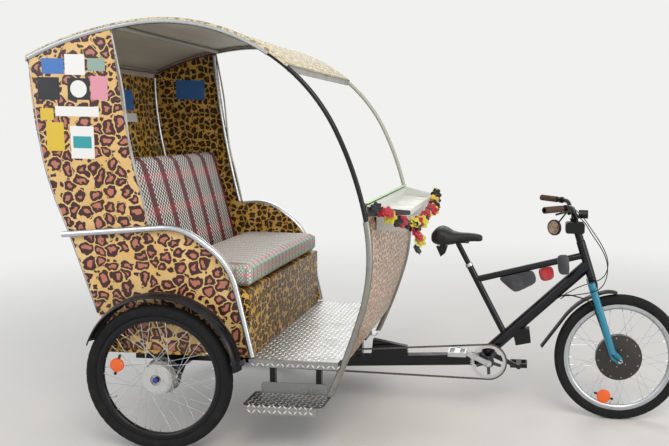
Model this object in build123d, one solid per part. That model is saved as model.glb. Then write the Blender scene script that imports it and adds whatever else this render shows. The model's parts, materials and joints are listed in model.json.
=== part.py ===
from build123d import *
import os
from math import atan2, cos, degrees, hypot, pi, radians, sin, sqrt, tan

# Cycle rickshaw: one steered front wheel, two rear wheels, a hooded cabin with a bench behind the rider.
# X forward, Y to the rider's left, Z up, in millimetres. While the pieces are made, x = 0 is the rear axle
# and z = 0 the ground. On writing, all move by ORIGIN_SHIFT, so that the origin is the foot of the middle
# of the whole vehicle's box.

# Overall sizes
WHEELBASE = 2147
REAR_OVERHANG = 600
TRACK = 1190
REAR_RADIUS = 340
FRONT_RADIUS = 333
ORIGIN_SHIFT = (REAR_OVERHANG - WHEELBASE - FRONT_RADIUS) / 2

# Clearances
SEAT_GAP = 0.3
RUN_GAP = 0.05
TURN_GAP = 1.0
SLIDE_GAP = 0.1

# Wheels
REAR_TYRE_WIDTH = 56
FRONT_TYRE_WIDTH = 50
TYRE_HEIGHT = 56
RIM_WIDTH = 32
RIM_WALL = 3
RIM_DEPTH = 22
REAR_SPOKE = 2.8
FRONT_SPOKE = 2.4
SPOKE_COUNT = 36
SPOKE_SKEW = 1.2
SPOKE_INSET = 6
SPOKE_RIM_Y = 2.5
REAR_SPOKE_LEAD = 62
FRONT_SPOKE_LEAD = 18
REAR_FLANGE_RADIUS = 70
REAR_FLANGE = 6
REAR_FLANGE_INSET = 12
REAR_FLANGE_INNER = 14
REAR_HUB_WIDTH = 74
DRUM_FACE = 3
REAR_BARREL_RADIUS = 30
DRUM_COVER_RADIUS = 62
DRUM_FACE_RADIUS = 36
HUB_RECESS_RADIUS = 26
HUB_RECESS = 12
REAR_AXLE_RADIUS = 8
REAR_NUT_WIDTH = 28
REAR_NUT_PROUD = 3
DISC_RADIUS = 85
DISC_THICKNESS = 2
DISC_SEAT_RADIUS = 24
DISC_INBOARD = 33
DISC_VENTS = 12
DISC_VENT_CENTRE = 61
DISC_VENT_RADIUS = 9
MOTOR_RADIUS = 120
MOTOR_WIDTH = 46
MOTOR_DOME = 8
MOTOR_DOME_REACH = 30
MOTOR_FLAT_RADIUS = 40
FRONT_AXLE_RADIUS = 6

# Cabin
HOOP_SPAN = 1060
ROOF_TUBE = 25
FRONT_TUBE = 22
LOWER_TUBE = 30
RAIL_TUBE = 28
PANEL_THICKNESS = 6
CANOPY_THICKNESS = 3
DASH_THICKNESS = 5
FLOOR_TOP = 430
FLOOR_SHEET = 3
FLOOR_LIP = 36
FLOOR_WIDTH = 1100
STEP_TOP = 250
STEP_REAR = 401
STEP_FRONT = 770
STEP_INNER = 480
STEP_OUTER = 650
STEP_LIP = 38
STEP_BACK = 48
SEAT_TOP = 860
CUSHION_THICKNESS = 115
CUSHION_FRONT = 412
CUSHION_REAR = -50
BOX_FRONT = 398
BOX_WALL = 9
FRAME_TUBE = 40
FRAME_RAIL_Y = 460

# Side view of the cabin's hoop: tangent arcs through these points, (x, z), from the rear of the roof
HOOP_RISE = 26.7
HOOP_POINTS = [(-588, 1769), (-60, 1930), (507, 1804), (800, 1480), (937, 1077), (916, 650), (763, STEP_TOP)]

# Cycle half
BOOM_WIDTH = 50
BOOM_HEIGHT = 54
BOOM_REAR = (250, 231)
CRANK_BEHIND = 673
CRANK_HEIGHT = 297
CRANK_CENTRE = (WHEELBASE - CRANK_BEHIND, CRANK_HEIGHT)
CRANK_LENGTH = 170
CRANK_ANGLE = 156
SHELL_RADIUS = 23
SHELL_WIDTH = 68
SPINDLE_RADIUS = 8.5
MAIN_TUBE = 62
SEAT_TUBE = 34
TOP_TUBE = 34
HEAD_TUBE = 46
HEAD_ANGLE = 18.5
HEAD_BEHIND = 189
HEAD_ABOVE_AXLE = 512
HEAD_CENTRE = (WHEELBASE - HEAD_BEHIND, FRONT_RADIUS + HEAD_ABOVE_AXLE)
HEAD_LENGTH = 192
STEERER_RADIUS = 14
FORK_HALF_SPAN = 60
FORK_LEG = 38
POST_RADIUS = 13.6
CHAIN_PITCH = 12.7
RING_TEETH = 46
CHAIN_Y = -60
JACK_CENTRE = (420, 262)
JACK_TEETH = 22
BAR_RADIUS = 11.1
BAR_BORE = 9.1
BAR_HALF_SPAN = 310

PANEL_Y = HOOP_SPAN / 2
WHEEL_Y = TRACK / 2
FRONT_AXLE = (WHEELBASE, FRONT_RADIUS)
SIDES = [("right", -1), ("left", 1)]

os.makedirs("parts", exist_ok=True)


def save(name, *solids):
    """Writes a node, moved so that the origin lies under the middle of the vehicle."""
    shift = Pos(ORIGIN_SHIFT, 0, 0)
    moved = [shift * Solid(solid.wrapped) for body in solids for solid in body.solids()]
    export_step(moved[0] if len(moved) == 1 else Compound(moved), f"parts/{name}.step")


def bar(start, end, radius):
    """A round bar between two points."""
    run = Vector(*end) - Vector(*start)
    return Solid.make_cylinder(radius, run.length, Plane(origin=start, z_dir=run))


def face_within(pieces):
    """The face inside lines and arcs that meet end to end."""
    return Face(Wire([edge for piece in pieces for edge in piece.edges()]))


def hexagon_bar(start, end, width):
    run = Vector(*end) - Vector(*start)
    return extrude(Plane(origin=start, z_dir=run) * RegularPolygon(width / 2, 6), run.length)


def block(x_span, y_span, z_span):
    """A box from its lowest to its highest x, y and z."""
    spans = (x_span, y_span, z_span)
    centre = [(low + high) / 2 for low, high in spans]
    return Pos(*centre) * Box(*[high - low for low, high in spans])


def both_sides(solid):
    """A solid and its mirror image on the other side of the vehicle."""
    return [solid, mirror(solid, Plane.XZ)]


def circle_of(a, b, c):
    """Centre and radius of the circle through three (x, z) points."""
    ax, az = a
    bx, bz = b
    cx, cz = c
    d = 2 * (ax * (bz - cz) + bx * (cz - az) + cx * (az - bz))
    x = ((ax**2 + az**2) * (bz - cz) + (bx**2 + bz**2) * (cz - az) + (cx**2 + cz**2) * (az - bz)) / d
    z = ((ax**2 + az**2) * (cx - bx) + (bx**2 + bz**2) * (ax - cx) + (cx**2 + cz**2) * (bx - ax)) / d
    return (x, z), hypot(ax - x, az - z)


def shifted(arc, distance):
    """The three points of an arc moved outwards from its centre by a distance."""
    (cx, cz), radius = circle_of(*arc)
    grow = 1 + distance / radius
    return [(cx + (x - cx) * grow, cz + (z - cz) * grow) for x, z in arc]


def on_arc(arc, share):
    """The (x, z) point at a share of the way along an arc through three points."""
    (cx, cz), radius = circle_of(*arc)
    first = atan2(arc[0][1] - cz, arc[0][0] - cx)
    last = atan2(arc[2][1] - cz, arc[2][0] - cx)
    angle = first + (last - first) * share
    return (cx + radius * cos(angle), cz + radius * sin(angle))


def part_of(arc, first, last):
    """Three points of the stretch of an arc between two shares."""
    return [on_arc(arc, first), on_arc(arc, (first + last) / 2), on_arc(arc, last)]


def share_at(arc, axis, value):
    """The share of the way along an arc at which its x (axis 0) or z (axis 1) has a value."""
    low, high = 0.0, 1.0
    rising = on_arc(arc, 1)[axis] > on_arc(arc, 0)[axis]
    for _ in range(40):
        middle = (low + high) / 2
        if (on_arc(arc, middle)[axis] < value) == rising:
            low = middle
        else:
            high = middle
    return low


def moved_forward(arc, distance):
    """An arc set off towards +x."""
    (cx, _), _ = circle_of(*arc)
    return shifted(arc, distance if arc[1][0] > cx else -distance)


def end_direction(arc):
    """The direction in which an arc ends."""
    (cx, cz), _ = circle_of(*arc)
    first = atan2(arc[0][1] - cz, arc[0][0] - cx)
    last = atan2(arc[2][1] - cz, arc[2][0] - cx)
    turn = 1 if last > first else -1
    return (-turn * sin(last), turn * cos(last))


def tangent_arcs(points, rise):
    """Arcs through points, each leaving in the direction of the last, the first at a rise in degrees."""
    direction = (cos(radians(rise)), sin(radians(rise)))
    arcs = []
    for start, end in zip(points, points[1:]):
        dx, dz = end[0] - start[0], end[1] - start[1]
        nx, nz = -direction[1], direction[0]
        radius = (dx**2 + dz**2) / (2 * (nx * dx + nz * dz))
        cx, cz = start[0] + nx * radius, start[1] + nz * radius
        first = atan2(start[1] - cz, start[0] - cx)
        last = atan2(end[1] - cz, end[0] - cx)
        middle = (first + last) / 2
        arcs.append([start, (cx + abs(radius) * cos(middle), cz + abs(radius) * sin(middle)), end])
        direction = end_direction(arcs[-1])
    return arcs


def offset_arcs(arcs, distance):
    return [shifted(arc, distance) for arc in arcs]


def holds(arc, axis, value):
    """Whether an arc passes an x (axis 0) or z (axis 1) value."""
    ends = sorted((arc[0][axis], arc[2][axis]))
    return ends[0] <= value <= ends[1]


def until(arcs, axis, value):
    """The arcs up to the first place where their x (axis 0) or z (axis 1) has a value."""
    for index, arc in enumerate(arcs):
        if holds(arc, axis, value):
            return arcs[:index] + [part_of(arc, 0, share_at(arc, axis, value))]
    return arcs


def backwards(arcs):
    return [arc[::-1] for arc in arcs[::-1]]


def onwards(arcs, axis, value):
    """The arcs from the last place where their x (axis 0) or z (axis 1) has a value."""
    return backwards(until(backwards(arcs), axis, value))


def place_on(arcs, axis, value):
    """The (x, z) point of arcs where their x (axis 0) or z (axis 1) has a value."""
    return until(arcs, axis, value)[-1][2]


def flat(point, y):
    return (point[0], y, point[1])


def arc_edge(arc, y):
    return ThreePointArc(*[flat(point, y) for point in arc])


def face_of(corners, y):
    """A face at one y. Each corner is an (x, z) point, or an arc given as its three points."""
    edges = []
    here = None
    first = None
    for corner in corners:
        if isinstance(corner[0], (tuple, list)):
            start, end = corner[0], corner[2]
            if here is not None and hypot(start[0] - here[0], start[1] - here[1]) > 1e-4:
                edges.append(Line(flat(here, y), flat(start, y)))
            edges.append(arc_edge(corner, y))
            first = first or start
            here = end
        else:
            if here is not None:
                edges.append(Line(flat(here, y), flat(corner, y)))
            first = first or corner
            here = corner
    if hypot(first[0] - here[0], first[1] - here[1]) > 1e-4:
        edges.append(Line(flat(here, y), flat(first, y)))
    return face_within(edges)


def plate(corners, y_low, y_high):
    """A plate between two y values, from its side view."""
    return extrude(face_of(corners, y_low), y_high - y_low, dir=(0, 1, 0))


def tube_along(edges, radius):
    """A round tube along edges that meet end to end."""
    path = Wire(edges)
    return sweep(Plane(origin=path @ 0, z_dir=path % 0) * Circle(radius), path=path)


def turned(profile, angle=360):
    """A face drawn with x as its radius and y as its width, turned about the Y axis."""
    return revolve(profile, Axis.Y, angle)


def along_y(radius, low, high):
    """A cylinder about the Y axis between two y values."""
    return Solid.make_cylinder(radius, high - low, Plane((0, low, 0), z_dir=(0, 1, 0)))


def at_rear(side, solid):
    """A piece of the right rear wheel, drawn about its centre, set in place or mirrored to the left."""
    placed = Pos(0, -WHEEL_Y, REAR_RADIUS) * solid
    return placed if side < 0 else mirror(placed, Plane.XZ)


def at_front(solid):
    return Pos(FRONT_AXLE[0], 0, FRONT_AXLE[1]) * solid


# Wheels


def tyre(radius, width):
    """Tread crown and round side walls, down to beads that sit inside the rim's flanges."""
    seat = radius - TYRE_HEIGHT
    bead = RIM_WIDTH / 2 - RIM_WALL - SEAT_GAP
    shoulder = radius - TYRE_HEIGHT * 0.42
    half = width / 2
    neck = seat + 7
    edges = [
        Line((seat, -bead), (seat, bead)),
        Line((seat, bead), (neck, bead)),
        ThreePointArc((neck, bead), ((neck + shoulder) / 2, half * 0.9), (shoulder, half)),
        ThreePointArc((shoulder, half), (radius, 0), (shoulder, -half)),
        ThreePointArc((shoulder, -half), ((neck + shoulder) / 2, -half * 0.9), (neck, -bead)),
        Line((neck, -bead), (seat, -bead)),
    ]
    return turned(face_within(edges))


def rim(radius):
    """A channel with two flanges and a rounded inner wall."""
    seat = radius - TYRE_HEIGHT - SEAT_GAP
    top = seat + 6
    inner = seat - RIM_DEPTH
    half = RIM_WIDTH / 2
    lip = half - RIM_WALL
    outline = [(seat, lip), (top, lip), (top, half), (seat - 6, half)]
    edges = [
        Polyline(*outline),
        ThreePointArc((seat - 6, half), (inner, 0), (seat - 6, -half)),
        Polyline((seat - 6, -half), (top, -half), (top, -lip), (seat, -lip)),
        Line((seat, -lip), (seat, lip)),
    ]
    return turned(face_within(edges))


def spokes(flange_radius, flange_ys, rim_radius, width, lead):
    """Spokes from two flanges to the rim, laced in pairs that lean lead degrees either way."""
    bars = []
    per_side = SPOKE_COUNT // 2
    pitch = 360 / per_side
    for side, flange_y in zip((-1, 1), flange_ys):
        for number in range(per_side):
            crossed = number % 2
            hub_angle = radians(pitch * (number + (side + 1) / 4))
            rim_angle = hub_angle + radians(lead if crossed else -lead)
            skew = SPOKE_SKEW if crossed else -SPOKE_SKEW
            start = (flange_radius * cos(hub_angle), flange_y + skew, flange_radius * sin(hub_angle))
            end = (rim_radius * cos(rim_angle), side * SPOKE_RIM_Y, rim_radius * sin(rim_angle))
            bars.append(hexagon_bar(start, end, width))
    return bars


def rear_hub():
    """The right hub: a barrel with two spoke flanges, a drum cover outboard and a disc seat inboard."""
    half = REAR_HUB_WIDTH / 2
    flange_ys = (-half + REAR_FLANGE_INSET, REAR_FLANGE_INNER)
    hub = along_y(REAR_BARREL_RADIUS, -half, REAR_FLANGE_INNER) + along_y(DISC_SEAT_RADIUS, 0, half)
    for flange_y in flange_ys:
        hub += along_y(REAR_FLANGE_RADIUS, flange_y - REAR_FLANGE / 2, flange_y + REAR_FLANGE / 2)
    hub += along_y(DRUM_COVER_RADIUS, -half + DRUM_FACE, 0) + along_y(DRUM_FACE_RADIUS, -half, 0)
    hub += spokes(REAR_FLANGE_RADIUS - SPOKE_INSET, flange_ys, REAR_RIM_SEAT, REAR_SPOKE, REAR_SPOKE_LEAD)
    hub -= along_y(HUB_RECESS_RADIUS, -half - 1, -half + HUB_RECESS)
    return hub - along_y(REAR_AXLE_RADIUS + RUN_GAP, -REAR_HUB_WIDTH, REAR_HUB_WIDTH)


def rim_seat(radius):
    """Radius at which the spokes end, just inside the rim's inner wall."""
    return radius - TYRE_HEIGHT - SEAT_GAP - RIM_DEPTH - SEAT_GAP


REAR_RIM_SEAT = rim_seat(REAR_RADIUS)
FRONT_RIM_SEAT = rim_seat(FRONT_RADIUS)


def disc():
    """A brake disc with round vents, on the inboard end of the right hub."""
    low, high = DISC_INBOARD - DISC_THICKNESS / 2, DISC_INBOARD + DISC_THICKNESS / 2
    vents = []
    for number in range(DISC_VENTS):
        angle = radians(360 / DISC_VENTS * number)
        x, z = DISC_VENT_CENTRE * cos(angle), DISC_VENT_CENTRE * sin(angle)
        vents.append(Pos(x, 0, z) * along_y(DISC_VENT_RADIUS, low - 1, high + 1))
    return along_y(DISC_RADIUS, low, high) - vents - along_y(DISC_SEAT_RADIUS + SEAT_GAP, low - 1, high + 1)


for name, side in SIDES:
    save(f"rear_tyre_{name}", at_rear(side, tyre(REAR_RADIUS, REAR_TYRE_WIDTH)))
    save(f"rear_rim_{name}", at_rear(side, rim(REAR_RADIUS)))
    save(f"rear_hub_{name}", at_rear(side, rear_hub()))
    save(f"brake_disc_{name}", at_rear(side, disc()))

save("front_tyre", at_front(tyre(FRONT_RADIUS, FRONT_TYRE_WIDTH)))
save("front_rim", at_front(rim(FRONT_RADIUS)))


def hub_motor():
    """A drum motor with domed covers, spoke flanges and its laced spokes."""
    half = MOTOR_WIDTH / 2
    bore = FRONT_AXLE_RADIUS + RUN_GAP
    rim_half = half - MOTOR_DOME
    inset = MOTOR_RADIUS - MOTOR_DOME
    bend = MOTOR_RADIUS - MOTOR_DOME_REACH
    edges = [
        Line((bore, -half), (MOTOR_FLAT_RADIUS, -half)),
        ThreePointArc((MOTOR_FLAT_RADIUS, -half), (bend, -half + 3), (inset, -rim_half)),
        Polyline((inset, -rim_half), (MOTOR_RADIUS, -rim_half), (MOTOR_RADIUS, rim_half), (inset, rim_half)),
        ThreePointArc((inset, rim_half), (bend, half - 3), (MOTOR_FLAT_RADIUS, half)),
        Polyline((MOTOR_FLAT_RADIUS, half), (bore, half), (bore, -half)),
    ]
    flange_y = rim_half - 3
    return turned(face_within(edges)) + spokes(MOTOR_RADIUS - 4, (-flange_y, flange_y), FRONT_RIM_SEAT,
                                               FRONT_SPOKE, FRONT_SPOKE_LEAD)


save("hub_motor", at_front(hub_motor()))

# Cabin hoops and rails

HOOP = tangent_arcs(HOOP_POINTS, HOOP_RISE)
ROOF_ARCS, FRONT_ARCS, LOWER_ARCS = HOOP[:2], HOOP[2:4], HOOP[4:]


def hoop_tube(arcs, radius):
    return tube_along([arc_edge(arc, -PANEL_Y) for arc in arcs], radius)


save("roof_hoops", *both_sides(hoop_tube(ROOF_ARCS, ROOF_TUBE / 2)))
save("front_hoops", *both_sides(hoop_tube(FRONT_ARCS, FRONT_TUBE / 2)))
lower_hoop = hoop_tube(LOWER_ARCS, LOWER_TUBE / 2)
lower_hoop -= block((HOOP_POINTS[-1][0] - 60, HOOP_POINTS[-1][0] + 60), (-PANEL_Y - 60, -PANEL_Y + 60),
                    (0, STEP_TOP + LOWER_TUBE / 2))
save("lower_hoops", *both_sides(lower_hoop))

# Arm rail: a tube bent over the top of each side panel and down its front edge.
RAIL_POINTS = [(-459, 979), (100, 1031), (320, 868), (415, 440)]
RAIL_RADII = [240, 300]
RAIL_Y = PANEL_Y + PANEL_THICKNESS / 2 + RAIL_TUBE / 2


def rail_path(y):
    return FilletPolyline(*[flat(point, y) for point in RAIL_POINTS], radius=RAIL_RADII)


save("arm_rails", *both_sides(tube_along(rail_path(-RAIL_Y).edges(), RAIL_TUBE / 2)))

# Side panels, from the roof tube down to the wheel, with the arm rail's line as the low front edge.
REAR_EDGE = [(-586, 1750), (-541, 1310), (-434, 970)]
REAR_FOOT = [(-320, 614), (-188, 452)]
UPPER_EDGE_TOP_X = -200
UPPER_EDGE_MID = (-134, 1372)
UPPER_EDGE_FOOT_X = -58


panel_under = offset_arcs(ROOF_ARCS, -ROOF_TUBE / 2 - SEAT_GAP)
panel_top = until(onwards(panel_under, 0, REAR_EDGE[0][0] + PANEL_THICKNESS), 0, UPPER_EDGE_TOP_X)[0]
rail_slope = (RAIL_POINTS[1][1] - RAIL_POINTS[0][1]) / (RAIL_POINTS[1][0] - RAIL_POINTS[0][0])
upper_foot = (UPPER_EDGE_FOOT_X, RAIL_POINTS[0][1] + rail_slope * (UPPER_EDGE_FOOT_X - RAIL_POINTS[0][0]))
upper_edge = [panel_top[2], UPPER_EDGE_MID, upper_foot]


def side_panel():
    """The right panel: its upper half ends at the upper edge, its lower half follows the arm rail."""
    y = -PANEL_Y - PANEL_THICKNESS / 2
    rail = rail_path(y).edges()
    edges = [
        arc_edge(panel_top, y),
        arc_edge(upper_edge, y),
        Line(flat(upper_foot, y), rail[0] @ 1),
        *rail[1:],
        Polyline(*[flat(point, y) for point in (RAIL_POINTS[-1], REAR_FOOT[1], REAR_FOOT[0], REAR_EDGE[2])]),
        arc_edge(REAR_EDGE[::-1], y),
        Line(flat(REAR_EDGE[0], y), flat(panel_top[0], y)),
    ]
    return extrude(face_within(edges), PANEL_THICKNESS, dir=(0, 1, 0))


panel = side_panel()
for name, side in SIDES:
    save(f"side_panel_{name}", panel if side < 0 else mirror(panel, Plane.XZ))

# Rear panel between the side panels.
INNER_Y = PANEL_Y - PANEL_THICKNESS / 2 - SEAT_GAP
rear_inner = moved_forward(REAR_EDGE, PANEL_THICKNESS)
rear_low_inner = (REAR_FOOT[0][0] + PANEL_THICKNESS, REAR_FOOT[0][1])
save("rear_panel", plate([REAR_EDGE, REAR_FOOT[0], rear_low_inner, rear_inner[::-1]], -INNER_Y, INNER_Y))

# Posts inside the side panels: at the rear corners, and up the front edge of their upper halves.
POST_TUBE = 18
POST_TOP_Z = 1885
POST_FOOT_Z = 1030
post_y = -INNER_Y + POST_TUBE / 2
rear_post = moved_forward(REAR_EDGE, PANEL_THICKNESS + SEAT_GAP + POST_TUBE / 2)
front_post = until(onwards([moved_forward(upper_edge, -POST_TUBE / 2)], 1, POST_TOP_Z), 1, POST_FOOT_Z)
posts = []
for post_arcs in ([rear_post], front_post):
    posts += both_sides(tube_along([arc_edge(arc, post_y) for arc in post_arcs], POST_TUBE / 2))
save("panel_posts", *posts)

# Canopy sheet over the hoops, from the rear overhang to the front fascia.
CANOPY_FRONT_X = 592
CANOPY_FRONT_CUT = 2
canopy_line = ROOF_ARCS + FRONT_ARCS
canopy_under = until(offset_arcs(canopy_line, ROOF_TUBE / 2 + SEAT_GAP), 0, CANOPY_FRONT_X)
canopy_over = until(offset_arcs(canopy_line, ROOF_TUBE / 2 + SEAT_GAP + CANOPY_THICKNESS), 0,
                    CANOPY_FRONT_X + CANOPY_FRONT_CUT)
CANOPY_LIP = 30
canopy_rear_z = canopy_under[0][0][1]
canopy = plate([*canopy_over, *backwards(canopy_under),
                (-REAR_OVERHANG + CANOPY_THICKNESS, canopy_rear_z - 2),
                (-REAR_OVERHANG + CANOPY_THICKNESS, canopy_rear_z - CANOPY_LIP),
                (-REAR_OVERHANG, canopy_rear_z - CANOPY_LIP),
                (-REAR_OVERHANG, canopy_over[0][0][1] - 2)],
               -PANEL_Y - ROOF_TUBE / 2, PANEL_Y + ROOF_TUBE / 2)
save("canopy", canopy)

# Fascia under the front edge of the canopy, between the hoops.
FASCIA_HEIGHT = 32
FASCIA_THICKNESS = 6
fascia_top = canopy_under[-1][2][1] - SEAT_GAP
fascia_y = PANEL_Y - FRONT_TUBE / 2 - SEAT_GAP
save("roof_fascia", block((CANOPY_FRONT_X - 1 - FASCIA_THICKNESS, CANOPY_FRONT_X - 1), (-fascia_y, fascia_y),
                          (fascia_top - FASCIA_HEIGHT, fascia_top)))

# Cross tubes that tie the two hoops: x of each
CROSS_TUBE_X = [-560, -190, 500]
CROSS_TUBE = 22
reach = PANEL_Y - ROOF_TUBE / 2 - SEAT_GAP
tubes = []
for cross_x in CROSS_TUBE_X:
    x, z = place_on(ROOF_ARCS, 0, cross_x)
    tubes.append(bar((x, -reach, z), (x, reach, z), CROSS_TUBE / 2))
save("roof_cross_tubes", *tubes)

# Front panel of the cabin, bent to the line of the hoops and set between them.
DASH_TOP_Z = 1155
DASH_FOOT_Z = 402
DASH_Y = PANEL_Y - LOWER_TUBE / 2 - SEAT_GAP
dash_line = until(onwards(FRONT_ARCS, 1, DASH_TOP_Z) + LOWER_ARCS, 1, DASH_FOOT_Z)
dash_inner = offset_arcs(dash_line, -DASH_THICKNESS / 2)
dash_outer = offset_arcs(dash_line, DASH_THICKNESS / 2)
dash = plate([*dash_outer, *backwards(dash_inner)], -DASH_Y, DASH_Y)
save("dash_panel", dash)

# Tray on the front of the dash: a pan that narrows forwards, and a shallow open box under it.
TRAY_FRONT = 1115
TRAY_FRONT_HALF = 400
TRAY_RIM_REAR = 1147
TRAY_RIM_FRONT = 1120
TRAY_FOOT = 1095
TRAY_WALL = 3
TRAY_BOX_FRONT = 1084
TRAY_BOX_HALF = 370
TRAY_BOX_FOOT = 1015


def dash_front(low, high):
    """The x just ahead of the dash between two heights."""
    return max(place_on(dash_outer, 1, z)[0] for z in range(low, high, 10)) + SEAT_GAP


def tray_plan(rear, wall, low, high):
    """The tray's plan, drawn in by a wall, between two heights."""
    side = 1.6 * wall
    corners = [(rear + wall, -DASH_Y + side), (TRAY_FRONT - wall, -TRAY_FRONT_HALF + side),
               (TRAY_FRONT - wall, TRAY_FRONT_HALF - side), (rear + wall, DASH_Y - side)]
    return Pos(0, 0, low) * extrude(face_within([Polyline(*corners, close=True)]), high - low, dir=(0, 0, 1))


tray_rear = dash_front(TRAY_FOOT, TRAY_RIM_REAR)
tray = tray_plan(tray_rear, 0, TRAY_FOOT, TRAY_RIM_REAR + 1)
tray -= tray_plan(tray_rear, TRAY_WALL, TRAY_FOOT + TRAY_WALL, TRAY_RIM_REAR + 2)
tray &= plate([(tray_rear, TRAY_FOOT), (tray_rear, TRAY_RIM_REAR), (TRAY_FRONT, TRAY_RIM_FRONT),
               (TRAY_FRONT, TRAY_FOOT)], -PANEL_Y, PANEL_Y)
box_rear = dash_front(TRAY_BOX_FOOT, TRAY_FOOT)
box_top = TRAY_FOOT - SEAT_GAP
tray_box = block((box_rear, TRAY_BOX_FRONT), (-TRAY_BOX_HALF, TRAY_BOX_HALF), (TRAY_BOX_FOOT, box_top))
tray_box -= block((box_rear + TRAY_WALL, TRAY_BOX_FRONT - TRAY_WALL),
                  (-TRAY_BOX_HALF + TRAY_WALL, TRAY_BOX_HALF - TRAY_WALL),
                  (TRAY_BOX_FOOT + TRAY_WALL, box_top + 1))
save("dash_tray", tray, tray_box)

# Footboard and steps of sheet metal with turned edges.
board_half = FLOOR_WIDTH / 2
FLOOR_REAR = BOX_FRONT + SEAT_GAP
FLOOR_FRONT = place_on(dash_inner, 1, FLOOR_TOP - FLOOR_SHEET)[0] - 2 * SEAT_GAP
board = block((FLOOR_REAR, FLOOR_FRONT), (-board_half, board_half), (FLOOR_TOP - FLOOR_LIP, FLOOR_TOP))
board -= block((FLOOR_REAR - 5, FLOOR_FRONT + 5), (-board_half + FLOOR_SHEET, board_half - FLOOR_SHEET),
               (0, FLOOR_TOP - FLOOR_SHEET))
HOOP_HOLE = LOWER_TUBE / 2 + 4
hoop_x = place_on(LOWER_ARCS, 1, FLOOR_TOP)[0]
hoop_slot = block((hoop_x - 26, FLOOR_FRONT + 5), (-board_half - 10, HOOP_HOLE - PANEL_Y), (0, FLOOR_TOP + 5))
board -= both_sides(hoop_slot)
save("footboard", board)

SHEET = FLOOR_SHEET
STEP_CORNER = 28
STEP_EDGE_CORNER = 14
step = block((STEP_REAR, STEP_FRONT), (-STEP_OUTER, -STEP_INNER), (STEP_TOP - SHEET, STEP_TOP))
step = fillet(step.edges().filter_by(Axis.Z).sort_by(Axis.Y)[:2], STEP_CORNER)
step_span = (STEP_REAR + STEP_CORNER, STEP_FRONT - STEP_CORNER)
lip = block(step_span, (-STEP_OUTER, -STEP_OUTER + SHEET), (STEP_TOP - STEP_LIP, STEP_TOP - SHEET / 2))
step += fillet(lip.edges().filter_by(Axis.Y).sort_by(Axis.Z)[:2], STEP_EDGE_CORNER)
back = block(step_span, (-STEP_INNER - SHEET, -STEP_INNER), (STEP_TOP - SHEET / 2, STEP_TOP + STEP_BACK))
step += fillet(back.edges().filter_by(Axis.Y).sort_by(Axis.Z)[-2:], STEP_EDGE_CORNER)
save("steps", *both_sides(step))

# Frame under the floor: two long rails, cross members and the posts down to the boom.
FRAME_TOP = FLOOR_TOP - FLOOR_SHEET
FRAME_FOOT = FRAME_TOP - FRAME_TUBE
FRAME_REAR_X = -175
FRAME_FRONT_X = 800
# Cross members: x of the middle
CROSS_X = [-155, 190, 560, 780]
half_tube = FRAME_TUBE / 2
frame = block((FRAME_REAR_X, FRAME_FRONT_X), (-FRAME_RAIL_Y - half_tube, -FRAME_RAIL_Y + half_tube),
              (FRAME_FOOT, FRAME_TOP))
frame += mirror(frame, Plane.XZ)
for x in CROSS_X:
    frame += block((x - half_tube, x + half_tube), (-FRAME_RAIL_Y, FRAME_RAIL_Y), (FRAME_FOOT, FRAME_TOP))

boom_dx = CRANK_CENTRE[0] - BOOM_REAR[0]
boom_dz = CRANK_CENTRE[1] - BOOM_REAR[1]
BOOM_SLOPE = degrees(atan2(boom_dz, boom_dx))


def boom_bar(grow=0.0):
    """The rectangular boom, from under the cabin to the crank."""
    height = BOOM_HEIGHT + 2 * grow
    width = BOOM_WIDTH + 2 * grow
    length = hypot(boom_dx, boom_dz)
    return Pos(BOOM_REAR[0], 0, BOOM_REAR[1]) * (Rot(0, -BOOM_SLOPE, 0) * (
        Pos(length / 2, 0, 0) * Box(length, width, height)))


for x in CROSS_X[2:]:
    boom_top = BOOM_REAR[1] + (x - BOOM_REAR[0]) * tan(radians(BOOM_SLOPE))
    frame += block((x - half_tube, x + half_tube), (-half_tube, half_tube), (boom_top, FRAME_TOP - 5))
frame -= boom_bar(SEAT_GAP)
# Axle hangers on both sides: plates from the rails down past the axle.
HANGER_Y = FRAME_RAIL_Y
AXLE_TUBE = 44
HANGER_TOP = 70
HANGER_FOOT = 34
HANGER_DROP = 36
HANGER_THICKNESS = 10
hanger = plate([(-HANGER_TOP, FRAME_FOOT + 5), (-HANGER_FOOT, REAR_RADIUS - HANGER_DROP),
                (HANGER_FOOT, REAR_RADIUS - HANGER_DROP), (HANGER_TOP, FRAME_FOOT + 5)],
               -HANGER_Y - HANGER_THICKNESS / 2, -HANGER_Y + HANGER_THICKNESS / 2)
frame += both_sides(hanger)
frame -= Pos(0, 0, REAR_RADIUS) * along_y(AXLE_TUBE / 2 + SEAT_GAP, -WHEEL_Y, WHEEL_Y)
save("floor_frame", frame)

# Brackets that carry the steps from the rails.
BRACKET = 25
brackets = []
for x in (470, 690):
    leg = block((x, x + BRACKET), (-STEP_INNER + SEAT_GAP, -STEP_INNER + SEAT_GAP + BRACKET),
                (STEP_TOP - SHEET - SEAT_GAP - BRACKET, FRAME_FOOT - SEAT_GAP))
    arm = block((x, x + BRACKET), (-STEP_OUTER + 2 * SHEET, -STEP_INNER + BRACKET),
                (STEP_TOP - SHEET - SEAT_GAP - BRACKET, STEP_TOP - SHEET - SEAT_GAP))
    brackets += both_sides(leg + arm)
save("step_brackets", *brackets)

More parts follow.
